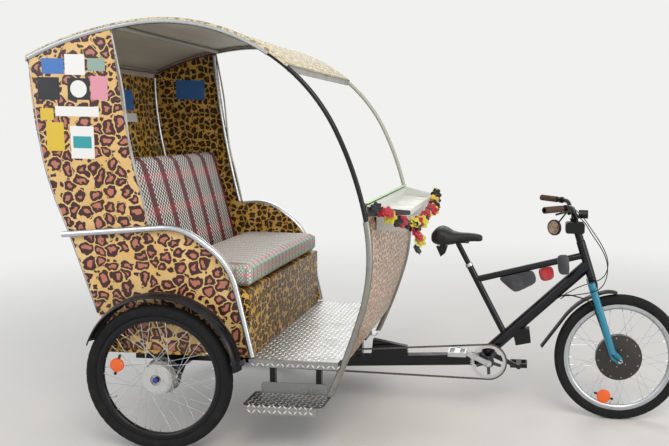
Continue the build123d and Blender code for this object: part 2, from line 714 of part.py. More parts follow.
# Rear axle: a fixed tube with turned ends on which the wheels run, and its end nuts.
hub_inner = WHEEL_Y - REAR_HUB_WIDTH / 2
hub_outer = WHEEL_Y + REAR_HUB_WIDTH / 2
axle_shoulder = hub_inner - TURN_GAP
axle_end = hub_outer + REAR_NUT_PROUD
axle = along_y(AXLE_TUBE / 2, -axle_shoulder, axle_shoulder) + along_y(REAR_AXLE_RADIUS, -axle_end, axle_end)
nut_start = hub_outer - HUB_RECESS + TURN_GAP
for side in (-1, 1):
    axle += hexagon_bar((0, side * nut_start, 0), (0, side * axle_end, 0), REAR_NUT_WIDTH)
DIFF_RADIUS = 62
DIFF_HALF = 45
axle += along_y(DIFF_RADIUS, -DIFF_HALF, DIFF_HALF)
save("rear_axle", Pos(0, 0, REAR_RADIUS) * axle)

# Rear mudguards, bent over the wheels about a centre above the axle, and held to the side panels.
GUARD_CENTRE = (15, REAR_RADIUS + 32)
GUARD_RADIUS = REAR_RADIUS + 26
GUARD_HALF = 42
GUARD_CROWN = 16
GUARD_SHEET = 3
GUARD_BEAD = 3
GUARD_START = 3
GUARD_SWEEP = 157
GUARD_STAY_ANGLES = [40, 90, 130]
GUARD_STAY = 5


def guard_section(radius, half, crown, sheet):
    """The thin bowed cross-section of a mudguard."""
    outer = [(radius - crown, -half), (radius, 0), (radius - crown, half)]
    inner = [(radius - crown - sheet, half), (radius - sheet, 0), (radius - crown - sheet, -half)]
    return face_within([ThreePointArc(*outer), Line(outer[2], inner[0]), ThreePointArc(*inner),
                        Line(inner[2], outer[0])])


def guard(radius, half, crown, sheet, start, sweep_angle, bead=0):
    """A mudguard from a start angle above the front, round over the top, with beaded lips."""
    solid = turned(guard_section(radius, half, crown, sheet), sweep_angle)
    for lip_y in (-half, half) if bead else ():
        solid += turned((Pos(radius - crown - sheet / 2, lip_y) * Circle(bead)).face(), sweep_angle)
    return Rot(0, -(start + sweep_angle), 0) * solid


guard_x, guard_z = GUARD_CENTRE
rear_guard = guard(GUARD_RADIUS, GUARD_HALF, GUARD_CROWN, GUARD_SHEET, GUARD_START, GUARD_SWEEP, GUARD_BEAD)
rear_guard = Pos(guard_x, -WHEEL_Y, guard_z) * rear_guard
stay_start = -PANEL_Y - PANEL_THICKNESS / 2 - SEAT_GAP
stay_reach = GUARD_RADIUS - GUARD_CROWN - GUARD_SHEET / 2
for angle in GUARD_STAY_ANGLES:
    x, z = guard_x + stay_reach * cos(radians(angle)), guard_z + stay_reach * sin(radians(angle))
    rear_guard += bar((x, stay_start, z), (x, -WHEEL_Y + GUARD_HALF - 1, z), GUARD_STAY)
save("rear_mudguards", *both_sides(rear_guard))

# Bench: a box under the seat, with a shelf behind, and its two cushions.
BOX_TOP = SEAT_TOP - CUSHION_THICKNESS
BOX_REAR = -300
box_outer = block((BOX_REAR, BOX_FRONT), (-INNER_Y, INNER_Y), (FRAME_TOP + SEAT_GAP, BOX_TOP))
box_inner = block((BOX_REAR - 5, BOX_FRONT - BOX_WALL), (-INNER_Y + BOX_WALL, INNER_Y - BOX_WALL),
                  (FLOOR_TOP - 5, BOX_TOP - BOX_WALL))
save("seat_box", box_outer - box_inner)
CUSHION_Y = INNER_Y - 14
cushion = block((CUSHION_REAR, CUSHION_FRONT), (-CUSHION_Y, CUSHION_Y), (BOX_TOP + SEAT_GAP, SEAT_TOP))
cushion_edges = cushion.edges().filter_by(Axis.Z) + cushion.faces().sort_by(Axis.Z)[-1].edges()
save("seat_cushion", fillet(cushion_edges, 25))
BACK_FOOT = (CUSHION_REAR - 2, BOX_TOP + SEAT_GAP)
BACK_TOP = (-200, 1350)
BACK_THICKNESS = 95
back = plate([BACK_FOOT, BACK_TOP, (BACK_TOP[0] - BACK_THICKNESS, BACK_TOP[1] - 20),
              (BACK_FOOT[0] - BACK_THICKNESS, BACK_FOOT[1])], -CUSHION_Y, CUSHION_Y)
save("back_cushion", fillet(back.edges().filter_by(Axis.Y).sort_by(Axis.Z)[-2:], 30))

# Cycle frame
shell = bar((CRANK_CENTRE[0], -SHELL_WIDTH / 2, CRANK_CENTRE[1]),
            (CRANK_CENTRE[0], SHELL_WIDTH / 2, CRANK_CENTRE[1]), SHELL_RADIUS)
crank_bore = bar((CRANK_CENTRE[0], -100, CRANK_CENTRE[1]), (CRANK_CENTRE[0], 100, CRANK_CENTRE[1]),
                 SPINDLE_RADIUS + RUN_GAP)
save("boom", boom_bar() + shell - crank_bore)

HEAD_UP = (-sin(radians(HEAD_ANGLE)), cos(radians(HEAD_ANGLE)))
HEAD_FORE = (cos(radians(HEAD_ANGLE)), sin(radians(HEAD_ANGLE)))


def steer_point(along, ahead=0.0, y=0.0):
    """A point of the steered half: along the steering axis from the head tube's middle, and ahead of it."""
    x = HEAD_CENTRE[0] + along * HEAD_UP[0] + ahead * HEAD_FORE[0]
    z = HEAD_CENTRE[1] + along * HEAD_UP[1] + ahead * HEAD_FORE[1]
    return (x, y, z)


head_half = HEAD_LENGTH / 2


def head_bar(radius, low=-head_half, high=head_half):
    return bar(steer_point(low), steer_point(high), radius)


head_bore = head_bar(STEERER_RADIUS + RUN_GAP, -head_half - 5, head_half + 5)
save("head_tube", head_bar(HEAD_TUBE / 2) - head_bore)
head_cutter = head_bar(HEAD_TUBE / 2 + SEAT_GAP, -head_half - 60, head_half + 60)

MAIN_LOW = (CRANK_CENTRE[0] - 34, CRANK_CENTRE[1] + 12)
MAIN_HIGH = (HEAD_CENTRE[0] - 8, HEAD_CENTRE[1] - 48)
main_line = (flat(MAIN_LOW, 0), flat(MAIN_HIGH, 0))
main_tube = bar(*main_line, MAIN_TUBE / 2) - head_cutter - boom_bar(SEAT_GAP)
main_tube -= bar((CRANK_CENTRE[0], -100, CRANK_CENTRE[1]), (CRANK_CENTRE[0], 100, CRANK_CENTRE[1]),
                 SHELL_RADIUS + SEAT_GAP)
main_tube = main_tube.solids().sort_by(SortBy.VOLUME)[-1]
save("main_tube", main_tube)

SEAT_TUBE_LENGTH = 402.7
SEAT_LEAN = 28.15
SEAT_LOW = (CRANK_CENTRE[0] + 78, CRANK_CENTRE[1] + 135)
SEAT_HIGH = (SEAT_LOW[0] - SEAT_TUBE_LENGTH * sin(radians(SEAT_LEAN)),
             SEAT_LOW[1] + SEAT_TUBE_LENGTH * cos(radians(SEAT_LEAN)))
seat_line = (flat(SEAT_LOW, 0), flat(SEAT_HIGH, 0))
main_cutter = bar(*main_line, MAIN_TUBE / 2 + SEAT_GAP)
seat_run = Vector(*seat_line[1]) - Vector(*seat_line[0])
seat_dir = seat_run.normalized()
POST_DEPTH = 90
post_foot = Vector(*seat_line[1]) - seat_dir * POST_DEPTH
POST_REACH = 130
post_head = Vector(*seat_line[1]) + seat_dir * POST_REACH
seat_tube = bar(*seat_line, SEAT_TUBE / 2) - main_cutter
seat_tube -= bar(tuple(post_foot), tuple(Vector(*seat_line[1]) + seat_dir * 5), POST_RADIUS + SLIDE_GAP)
save("seat_tube", seat_tube)
SADDLE_LENGTH = 273
SADDLE_HEIGHT = 79
SADDLE_REAR = post_head.X - 143.7
SADDLE_NOSE = SADDLE_REAR + SADDLE_LENGTH
SADDLE_UNDER = post_head.Z + 15.4
SADDLE_TOP = SADDLE_UNDER + SADDLE_HEIGHT
RAIL_RADIUS = 3.5
RAIL_SPAN = 44
rail_z = SADDLE_UNDER - SEAT_GAP - RAIL_RADIUS
post = bar(tuple(post_foot + seat_dir * SEAT_GAP), tuple(post_head), POST_RADIUS)
post += bar((post_head.X, -RAIL_SPAN / 2 - 6, rail_z - 8), (post_head.X, RAIL_SPAN / 2 + 6, rail_z - 8), 11)
for side in (-1, 1):
    y = side * RAIL_SPAN / 2
    post += bar((SADDLE_REAR + 45, y, rail_z), (SADDLE_REAR + 200, y, rail_z), RAIL_RADIUS)
# Lamp under the saddle's rear, from its side view: x from the saddle's rear, z from the rails
LAMP_OUTLINE = [(30, -26), (88, -24), (77, -60), (54, -78)]
lamp_y = RAIL_SPAN / 2
post += plate([(SADDLE_REAR + x, rail_z + z) for x, z in LAMP_OUTLINE], -lamp_y, lamp_y)
post += block((SADDLE_REAR + 50, SADDLE_REAR + 74), (-lamp_y, lamp_y), (rail_z - 26, rail_z))
save("seat_post", post)
clamp_low = Vector(*seat_line[1]) + seat_dir * SEAT_GAP
clamp_high = clamp_low + seat_dir * 16
seat_clamp = bar(tuple(clamp_low), tuple(clamp_high), SEAT_TUBE / 2 + 3)
seat_clamp -= bar(tuple(clamp_low - seat_dir * 5), tuple(clamp_high + seat_dir * 5), POST_RADIUS + SLIDE_GAP)
save("seat_clamp", seat_clamp)

TOP_DROP = 78
TOP_REAR = (SEAT_HIGH[0] - seat_dir.X * TOP_DROP, SEAT_HIGH[1] - seat_dir.Z * TOP_DROP)
TOP_FRONT = (HEAD_CENTRE[0], HEAD_CENTRE[1] + 22)
seat_cutter = bar(*seat_line, SEAT_TUBE / 2 + SEAT_GAP)
top_tube = bar(flat(TOP_REAR, 0), flat(TOP_FRONT, 0), TOP_TUBE / 2) - head_cutter - seat_cutter
top_tube -= main_cutter
save("top_tube", top_tube.solids().sort_by(SortBy.VOLUME)[-1])

# Bags hung on the top tube
top_run = (Vector(*flat(TOP_FRONT, 0)) - Vector(*flat(TOP_REAR, 0))).normalized()


def under_top(along, below):
    """A point by its way along the top tube's middle line from the rear, and down from that line."""
    x = TOP_REAR[0] + along * top_run.X + below * top_run.Z
    return (x, TOP_REAR[1] + along * top_run.Z - below * top_run.X)


TUBE_UNDER = TOP_TUBE / 2 + SEAT_GAP
# Columns: corners as way along and distance below, lowest and highest y, radius of the lower corners
BAGS = [
    ([(110, TUBE_UNDER), (300, TUBE_UNDER), (306, 85), (178, 115)], -28, 28, 12),
    ([(432, -41), (494, -31), (476, 82), (417, 64)], -62, -TUBE_UNDER, 16),
    ([(320, TUBE_UNDER), (400, TUBE_UNDER), (400, 90), (320, 90)], -26, 26, 20),
]
bags = []
for corners, y_low, y_high, corner_radius in BAGS:
    bag = plate([under_top(*corner) for corner in corners], y_low, y_high)
    bag = fillet(bag.edges().filter_by(Axis.Y).sort_by(Axis.Z)[:2], corner_radius)
    bags.append(bag - main_cutter)
save("frame_bags", *bags)

# Chain cover: a tapered box on top of the boom behind the crank.
cover = plate([(845, 250), (860, 382), (1040, 350), (1050, 250)], -BOOM_WIDTH / 2, BOOM_WIDTH / 2 - 20)
cover = (cover - boom_bar(SEAT_GAP)).solids().sort_by(Axis.Z)[-1]
save("chain_cover", cover)

# Saddle: plan outline crossed with the side outline.
plan = [
    ThreePointArc((SADDLE_REAR + 40, -82), (SADDLE_REAR, 0), (SADDLE_REAR + 40, 82)),
    ThreePointArc((SADDLE_REAR + 40, 82), (SADDLE_REAR + 120, 62), (SADDLE_REAR + 170, 30)),
    Line((SADDLE_REAR + 170, 30), (SADDLE_NOSE - 20, 19)),
    ThreePointArc((SADDLE_NOSE - 20, 19), (SADDLE_NOSE, 0), (SADDLE_NOSE - 20, -19)),
    Line((SADDLE_NOSE - 20, -19), (SADDLE_REAR + 170, -30)),
    ThreePointArc((SADDLE_REAR + 170, -30), (SADDLE_REAR + 120, -62), (SADDLE_REAR + 40, -82)),
]
saddle = Pos(0, 0, SADDLE_UNDER - 10) * extrude(face_within(plan), 200, dir=(0, 0, 1))
side_view = [
    (SADDLE_REAR - 10, SADDLE_UNDER),
    [(SADDLE_REAR - 10, SADDLE_TOP - 22), (SADDLE_REAR + 60, SADDLE_TOP), (SADDLE_REAR + 130, SADDLE_TOP - 18)],
    (SADDLE_NOSE + 10, SADDLE_TOP - 26),
    (SADDLE_NOSE + 10, SADDLE_TOP - 62),
    (SADDLE_REAR + 150, SADDLE_UNDER),
]
saddle &= plate(side_view, -120, 120)
save("saddle", saddle.solids().sort_by(SortBy.VOLUME)[-1])

# Control box under the main tube
CONTROL_AT = (CRANK_CENTRE[0] + 116, CRANK_CENTRE[1] + 83)
# Columns: x and z from the box's lowest rear corner
CONTROL_OUTLINE = [(0, 90), (90, 90), (100, 18), (22, 0)]
CONTROL_HALF = 28
control_corners = [(CONTROL_AT[0] + x, CONTROL_AT[1] + z) for x, z in CONTROL_OUTLINE]
control_box = plate(control_corners, -CONTROL_HALF, CONTROL_HALF) - main_cutter
save("control_box", control_box.solids().sort_by(Axis.Z)[0])

# Crank set and chain


def sprocket(teeth, thickness):
    """A toothed plate: each tooth is a short trapezium between two chain rollers."""
    pitch_radius = CHAIN_PITCH / 2 / sin(pi / teeth)
    root, tip = pitch_radius - 3.9, pitch_radius + 2.6
    step_angle = 2 * pi / teeth
    points = []
    for number in range(teeth):
        # Columns: share of a pitch, radius
        for share, radius in ((-0.28, root), (-0.12, tip), (0.12, tip), (0.28, root)):
            angle = (number + share) * step_angle
            points.append((radius * cos(angle), radius * sin(angle)))
    outline = Polyline(*points, close=True)
    return extrude(Plane.XZ * face_within([outline]), thickness / 2, both=True)


ring_radius = CHAIN_PITCH / 2 / sin(pi / RING_TEETH)
ring_at = Pos(CRANK_CENTRE[0], CHAIN_Y, CRANK_CENTRE[1])
RING_ARMS = 5
# Columns: radius, angle between the middle of an arm and its edge
WINDOW_INNER = (30, 17)
WINDOW_OUTER = (74, 6)
chainring = sprocket(RING_TEETH, 2.4)


def window_arc(radius, margin, middle):
    """One curved side of a window between two arms."""
    half = 180 / RING_ARMS - margin
    angles = [radians(angle) for angle in (middle - half, middle, middle + half)]
    return [(radius * cos(angle), radius * sin(angle)) for angle in angles]


for number in range(RING_ARMS):
    middle = 360 / RING_ARMS * number + 20
    window = plate([window_arc(*WINDOW_INNER, middle), window_arc(*WINDOW_OUTER, middle)[::-1]], -5, 5)
    chainring -= fillet(window.edges().filter_by(Axis.Y), 4)
chainring -= Solid.make_cylinder(13 + SEAT_GAP, 20, Plane((0, -10, 0), z_dir=(0, 1, 0)))
save("chainring", ring_at * chainring)

ARM_THICKNESS = 13
ARM_Y = 84


def crank_arm(side, angle):
    """A tapered arm with a boss at each end and the pin on which its pedal turns."""
    x, z = CRANK_LENGTH * cos(radians(angle)), CRANK_LENGTH * sin(radians(angle))
    inner, outer = side * (ARM_Y - ARM_THICKNESS / 2), side * (ARM_Y + ARM_THICKNESS / 2)
    arm = bar((0, inner, 0), (0, outer, 0), 17) + bar((x, inner, z), (x, outer, z), 13)
    width_hub, width_end = 14, 10
    nx, nz = -sin(radians(angle)), cos(radians(angle))
    arm += plate([(nx * width_hub, nz * width_hub), (x + nx * width_end, z + nz * width_end),
                  (x - nx * width_end, z - nz * width_end), (-nx * width_hub, -nz * width_hub)],
                 min(inner, outer), max(inner, outer))
    return arm + bar((x, outer, z), (x, outer + side * 92, z), 4.5)


crank = bar((0, -ARM_Y, 0), (0, ARM_Y, 0), SPINDLE_RADIUS)
crank += bar((0, CHAIN_Y - 14, 0), (0, CHAIN_Y + 6, 0), 13)
crank += crank_arm(-1, CRANK_ANGLE) + crank_arm(1, CRANK_ANGLE + 180)
save("crank", Pos(CRANK_CENTRE[0], 0, CRANK_CENTRE[1]) * crank)


def pedal():
    """A flat pedal: a barrel on the pin, inside an open frame."""
    body = Box(92, 80, 22)
    for side in (-1, 1):
        body -= Pos(side * 26, 0, 0) * Box(24, 66, 40)
    body += Rot(90, 0, 0) * Cylinder(11, 80)
    return body - Rot(90, 0, 0) * Cylinder(4.5 + RUN_GAP, 200)


for name, side in SIDES:
    angle = radians(CRANK_ANGLE if side < 0 else CRANK_ANGLE + 180)
    x = CRANK_CENTRE[0] + CRANK_LENGTH * cos(angle)
    z = CRANK_CENTRE[1] + CRANK_LENGTH * sin(angle)
    save(f"pedal_{name}", Pos(x, side * (ARM_Y + ARM_THICKNESS / 2 + 6 + 40), z) * pedal())

CHAIN_HEIGHT = 8.4
CHAIN_WIDTH = 7.6


def loop_between(big, big_radius, small, small_radius, grow):
    """The face inside a belt round two circles, both grown."""
    dx, dz = small[0] - big[0], small[1] - big[1]
    span = hypot(dx, dz)
    base = atan2(dz, dx)
    spread = atan2(sqrt(span**2 - (big_radius - small_radius)**2), big_radius - small_radius)
    wide, narrow = big_radius + grow, small_radius + grow

    def at(centre, radius, angle):
        return (centre[0] + radius * cos(angle), centre[1] + radius * sin(angle))

    up, low = base - spread, base + spread
    return [
        [at(big, wide, low), at(big, wide, base + pi), at(big, wide, up)],
        [at(small, narrow, up), at(small, narrow, base), at(small, narrow, low)],
    ]


def chain(big, big_teeth, small, small_teeth, y):
    """A chain as a channel whose plates pass either side of the teeth."""
    radii = [CHAIN_PITCH / 2 / sin(pi / teeth) for teeth in (big_teeth, small_teeth)]

    def ring(grow, half):
        return plate(loop_between(big, radii[0], small, radii[1], grow), y - half, y + half)

    outside = ring(CHAIN_HEIGHT / 2, CHAIN_WIDTH / 2)
    inside = ring(-CHAIN_HEIGHT / 2, CHAIN_WIDTH)
    slot = ring(3.1, 2.2)
    return outside - inside - slot


save("chain", chain(CRANK_CENTRE, RING_TEETH, JACK_CENTRE, JACK_TEETH, CHAIN_Y))
jack_at = Pos(JACK_CENTRE[0], CHAIN_Y, JACK_CENTRE[1])
jack = sprocket(JACK_TEETH, 2.4)
jack_reach = -CHAIN_Y - BOOM_WIDTH / 2 - SEAT_GAP
jack += Solid.make_cylinder(24, jack_reach + 14, Plane((0, -14, 0), z_dir=(0, 1, 0)))
save("jackshaft", jack_at * jack)

# Steered half: fork, stem, handlebar, front mudguard

axle_along = (FRONT_AXLE[0] - HEAD_CENTRE[0]) * HEAD_UP[0] + (FRONT_AXLE[1] - HEAD_CENTRE[1]) * HEAD_UP[1]
axle_ahead = (FRONT_AXLE[0] - HEAD_CENTRE[0]) * HEAD_FORE[0] + (FRONT_AXLE[1] - HEAD_CENTRE[1]) * HEAD_FORE[1]
CROWN_LOW = -head_half - 50
CROWN_HIGH = -head_half - 20
CROWN_RADIUS = 22
LEG_SET_BACK = 26
LEG_AHEAD = axle_ahead - LEG_SET_BACK
STEERER_TOP = head_half + 60
LEG_FOOT = axle_along + 45
DROPOUT = 12
# Side view of the dropouts: ahead of the steering axis, and up from the front axle
DROPOUT_OUTLINE = [(LEG_AHEAD - 15, 62), (LEG_AHEAD + 17, 62), (axle_ahead + 14, 14), (axle_ahead + 14, -14),
                   (axle_ahead - 12, -16), (LEG_AHEAD - 15, 20)]


def leg_bar(side, grow=0.0):
    """One leg of the fork."""
    return bar(steer_point(LEG_FOOT, LEG_AHEAD, side * FORK_HALF_SPAN),
               steer_point(CROWN_HIGH + grow, LEG_AHEAD, side * FORK_HALF_SPAN), FORK_LEG / 2 + grow)


axle_bore = Pos(FRONT_AXLE[0], 0, FRONT_AXLE[1]) * along_y(FRONT_AXLE_RADIUS + SLIDE_GAP, -200, 200)
dropout_corners = [steer_point(axle_along + up, ahead)[::2] for ahead, up in DROPOUT_OUTLINE]
dropout = plate(dropout_corners, -FORK_HALF_SPAN - DROPOUT / 2, -FORK_HALF_SPAN + DROPOUT / 2)
save("fork", *both_sides(leg_bar(-1) + dropout - axle_bore))

crown_beam = Plane(origin=steer_point(CROWN_LOW), x_dir=(HEAD_FORE[0], 0, HEAD_FORE[1]),
                   z_dir=(HEAD_UP[0], 0, HEAD_UP[1]))
crown = bar(steer_point(CROWN_LOW), steer_point(-head_half - 4), CROWN_RADIUS)
crown += crown_beam * (Pos(LEG_AHEAD / 2, 0, (CROWN_HIGH - CROWN_LOW) / 2) * Box(
    2 * CROWN_RADIUS, 2 * FORK_HALF_SPAN, CROWN_HIGH - CROWN_LOW))
crown += bar(steer_point(CROWN_HIGH - 5), steer_point(STEERER_TOP), STEERER_RADIUS)
save("fork_crown", crown - leg_bar(-1, SEAT_GAP) - leg_bar(1, SEAT_GAP))

AXLE_NUT_RADIUS = 11
AXLE_NUT_LENGTH = 10
AXLE_SPACER_RADIUS = 10
nut_foot = FORK_HALF_SPAN + DROPOUT / 2 + SEAT_GAP
spacer_end = FORK_HALF_SPAN - DROPOUT / 2 - SEAT_GAP
spacer_start = MOTOR_WIDTH / 2 + TURN_GAP
front_axle = along_y(FRONT_AXLE_RADIUS, -nut_foot - 14, nut_foot + 14)
front_axle += along_y(AXLE_NUT_RADIUS, -nut_foot - AXLE_NUT_LENGTH, -nut_foot)
front_axle += along_y(AXLE_NUT_RADIUS, nut_foot, nut_foot + AXLE_NUT_LENGTH)
front_axle += along_y(AXLE_SPACER_RADIUS, -spacer_end, -spacer_start)
front_axle += along_y(AXLE_SPACER_RADIUS, spacer_start, spacer_end)
save("front_axle", at_front(front_axle))

STEM_AHEAD = 8
STEM_ALONG = head_half + 130
STEM_RADIUS = 20
STEM_CLAMP_RADIUS = 19
STEM_CLAMP_HALF = 24
stem_centre = steer_point(STEM_ALONG, STEM_AHEAD)
stem = bar(steer_point(head_half + 2), steer_point(STEM_ALONG - 2), STEM_RADIUS)
stem -= head_bar(STEERER_RADIUS + SLIDE_GAP, head_half - 5, STEERER_TOP + SEAT_GAP)
stem += Pos(*stem_centre) * along_y(STEM_CLAMP_RADIUS, -STEM_CLAMP_HALF, STEM_CLAMP_HALF)
stem -= Pos(*stem_centre) * along_y(BAR_RADIUS + SLIDE_GAP, -2 * STEM_CLAMP_HALF, 2 * STEM_CLAMP_HALF)
save("stem", stem)

BAR_RISE = 63
BAR_SWEEP = 164
BAR_BEND = 60
GRIP_LENGTH = 120
GRIP_RADIUS = 16
# Half the handlebar: x and z from the middle, and y
BAR_HALF = [(-BAR_SWEEP, -BAR_HALF_SPAN, BAR_RISE), (-30, -170, BAR_RISE), (0, -70, 0)]
bar_half = [Vector(*stem_centre) + Vector(*corner) for corner in BAR_HALF]
bar_points = bar_half + [Vector(corner.X, -corner.Y, corner.Z) for corner in bar_half[::-1]]
handlebar = tube_along(FilletPolyline(*bar_points, radius=BAR_BEND).edges(), BAR_RADIUS)
bar_end = bar_half[0]
inwards = (bar_half[1] - bar_end).normalized()
end_bore = bar(tuple(bar_end - inwards), tuple(bar_end + inwards * 60), BAR_BORE)
save("handlebar", handlebar - both_sides(end_bore))


def sleeve(start, length, radius):
    """A sleeve on the straight end of the handlebar, from a way in from its end."""
    outer = bar(tuple(bar_end + inwards * start), tuple(bar_end + inwards * (start + length)), radius)
    bore = bar(tuple(bar_end + inwards * (start - 1)), tuple(bar_end + inwards * (start + length + 1)),
               BAR_RADIUS + SLIDE_GAP)
    return outer - bore


save("grips", *both_sides(sleeve(0, GRIP_LENGTH, GRIP_RADIUS)))

# Brake levers: a clamp, a short neck and a blade ahead of the grip
LEVER_CLAMP_AT = 142
LEVER_CLAMP = 16
LEVER_RADIUS = 5
lever_clamp = bar_end + inwards * (LEVER_CLAMP_AT + LEVER_CLAMP / 2)
lever_dir = Vector(inwards.Y, -inwards.X, -0.35).normalized()
lever_turn = lever_clamp + lever_dir * 30
lever = sleeve(LEVER_CLAMP_AT, LEVER_CLAMP, 17)
lever += bar(tuple(lever_clamp + lever_dir * 14), tuple(lever_turn), LEVER_RADIUS)
lever += bar(tuple(lever_turn + inwards * 2), tuple(bar_end + inwards * 30 + lever_dir * 50), LEVER_RADIUS)
save("brake_levers", *both_sides(lever))

# Fittings on the right half of the handlebar: a case beside the stem, a headlamp, a bell and a mirror
CASE_AT = (-49, -42, -77)
CASE_SIZE = (95, 63, 55)
HEADLAMP_RADIUS = 22
HEADLAMP_LENGTH = 46
HEADLAMP_RISE = 13
MIRROR_RADIUS = 37
MIRROR_AT = Vector(-109, -200, -31)
MIRROR_FACE = Vector(-0.64, -0.77, 0)
BELL_RADIUS = 24
stem_x, _, stem_z = stem_centre
case = block((stem_x + CASE_AT[0], stem_x + CASE_AT[0] + CASE_SIZE[0]),
             (-STEM_RADIUS - SEAT_GAP - CASE_SIZE[1], -STEM_RADIUS - SEAT_GAP),
             (stem_z + CASE_AT[2], stem_z + CASE_AT[2] + CASE_SIZE[2]))
case = fillet(case.edges().filter_by(Axis.Y), 12)
lamp_x = stem_x + STEM_CLAMP_RADIUS + SEAT_GAP
lamp_z = stem_z + HEADLAMP_RISE
headlamp = bar((lamp_x, 0, lamp_z), (lamp_x + HEADLAMP_LENGTH, 0, lamp_z), HEADLAMP_RADIUS)
slope_mid = (bar_half[1] + bar_half[2]) / 2
slope_dir = (bar_half[2] - bar_half[1]).normalized()
bell_dir = Vector(-1, 0, 1)
bell_dir = (bell_dir - slope_dir * bell_dir.dot(slope_dir)).normalized()
bell = bar(tuple(slope_mid - slope_dir * 6), tuple(slope_mid + slope_dir * 6), 15)
bell += bar(tuple(slope_mid), tuple(slope_mid + bell_dir * 24), 6)
bell += bar(tuple(slope_mid + bell_dir * 20), tuple(slope_mid + bell_dir * 34), BELL_RADIUS)
bell += bar(tuple(slope_mid + bell_dir * 30), tuple(slope_mid + bell_dir * 42), BELL_RADIUS - 7)
bell -= bar(tuple(slope_mid - slope_dir * 30), tuple(slope_mid + slope_dir * 30), BAR_RADIUS + SLIDE_GAP)
mirror_centre = Vector(stem_x, 0, stem_z) + MIRROR_AT
mirror_foot = bar_end + inwards * 165
glass = sleeve(161, 8, 15) + bar(tuple(mirror_foot - Vector(0, 0, 14.5)), tuple(mirror_centre), 4)
glass += bar(tuple(mirror_centre - MIRROR_FACE * 5), tuple(mirror_centre + MIRROR_FACE * 5), MIRROR_RADIUS)
save("bar_fittings", case, headlamp, bell, glass)

# Front mudguard: an arc over the wheel, a straight tail, a tighter nose, and a lug up to the crown
FRONT_GUARD_RADIUS = FRONT_RADIUS + 28
FRONT_GUARD_FORM = (32, 9, 3)
FRONT_GUARD_START = 104
FRONT_GUARD_END = 145
FRONT_GUARD_TAIL = 195
NOSE_RADIUS = 110
NOSE_SWEEP = 35
LUG_AHEAD = 8
LUG_RADIUS = 8
guard_sweep = FRONT_GUARD_END - FRONT_GUARD_START
front_guard = guard(FRONT_GUARD_RADIUS, *FRONT_GUARD_FORM, FRONT_GUARD_START, guard_sweep)
front_guard += Rot(0, -FRONT_GUARD_END, 0) * extrude(guard_section(FRONT_GUARD_RADIUS, *FRONT_GUARD_FORM),
                                                     FRONT_GUARD_TAIL, dir=(0, 0, 1))
nose_out = FRONT_GUARD_RADIUS - NOSE_RADIUS
nose_angle = radians(FRONT_GUARD_START)
front_guard += Pos(nose_out * cos(nose_angle), 0, nose_out * sin(nose_angle)) * guard(
    NOSE_RADIUS, *FRONT_GUARD_FORM, FRONT_GUARD_START - NOSE_SWEEP, NOSE_SWEEP)
lug_foot = steer_point(axle_along + FRONT_GUARD_RADIUS - 10, LUG_AHEAD)
lug = bar(lug_foot, steer_point(CROWN_LOW - SEAT_GAP, LUG_AHEAD), LUG_RADIUS)
lug -= at_front(along_y(FRONT_GUARD_RADIUS - FRONT_GUARD_FORM[2] / 2, -50, 50))
save("front_mudguard", at_front(front_guard) + lug)

# Two brake cables that loop ahead of the head tube to the main tube's underside, and the motor's lead
CABLE_RADIUS = 2.5
LEAD_RADIUS = 3.5
main_dir = (Vector(*main_line[1]) - Vector(*main_line[0])).normalized()


def under_main(back, angle, radius):
    """A point on the main tube's underside: back from its upper end, and round from the lowest line."""
    out = MAIN_TUBE / 2 + SEAT_GAP + radius
    middle = Vector(*main_line[1]) - main_dir * back
    down, across = out * cos(radians(angle)), out * sin(radians(angle))
    return (middle.X + down * main_dir.Z, across, middle.Z - down * main_dir.X)


def cable(points, radius):
    """A cable through points, its corners rounded as far as its runs allow."""
    corners = [Vector(*point) for point in points]
    runs = [end - start for start, end in zip(corners, corners[1:])]
    bends = []
    for run, following in zip(runs, runs[1:]):
        reach = 0.45 * min(run.length, following.length)
        bends.append(reach / tan(radians(run.get_angle(following) / 2)))
    return tube_along(FilletPolyline(*corners, radius=bends).edges(), radius)


# Columns: x and z from the head tube's middle, and y of the right cable and of the left
CABLE_RUN_RIGHT = [(-96, -196, 267), (-28, -110, 215), (17, -80, 140), (77, -60, 60), (108, -55, -15), (104, -66, -85),
                   (77, -84, -133), (27, -92, -155), (-33, -75, -170), (-86, -34, -190)]
CABLE_RUN_LEFT = [(-96, 196, 267), (-23, 110, 217), (32, 75, 140), (90, 50, 60), (121, 45, -15), (119, 52, -70),
                  (97, 80, -120), (42, 92, -145), (-23, 74, -163), (-76, 34, -186)]
cables = []
for run, backs, angle in ((CABLE_RUN_RIGHT, (160, 190), -12), (CABLE_RUN_LEFT, (145, 175), 14)):
    points = [(HEAD_CENTRE[0] + x, y, HEAD_CENTRE[1] + z) for x, y, z in run]
    points += [under_main(back, angle, CABLE_RADIUS) for back in backs]
    cables.append(cable(points, CABLE_RADIUS))
lead_y = -nut_foot - 14 - SEAT_GAP - LEAD_RADIUS
lead_points = [
    under_main(200, -50, LEAD_RADIUS),
    under_main(165, -50, LEAD_RADIUS),
    steer_point(CROWN_LOW - 34, LEG_AHEAD - 75, -50),
    steer_point(CROWN_LOW - 70, LEG_AHEAD - 30, -64),
    steer_point(CROWN_LOW - 160, LEG_AHEAD - 25, -65),
    steer_point(axle_along + 60, LEG_AHEAD - 26, -66),
    steer_point(axle_along + 10, axle_ahead - 34, lead_y),
    (FRONT_AXLE[0] + 5, lead_y, FRONT_AXLE[1]),
]
cables.append(cable(lead_points, LEAD_RADIUS))
save("cables", *cables)
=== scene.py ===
import json
import math
import random

import bmesh
import bpy
from mathutils import Matrix, Vector


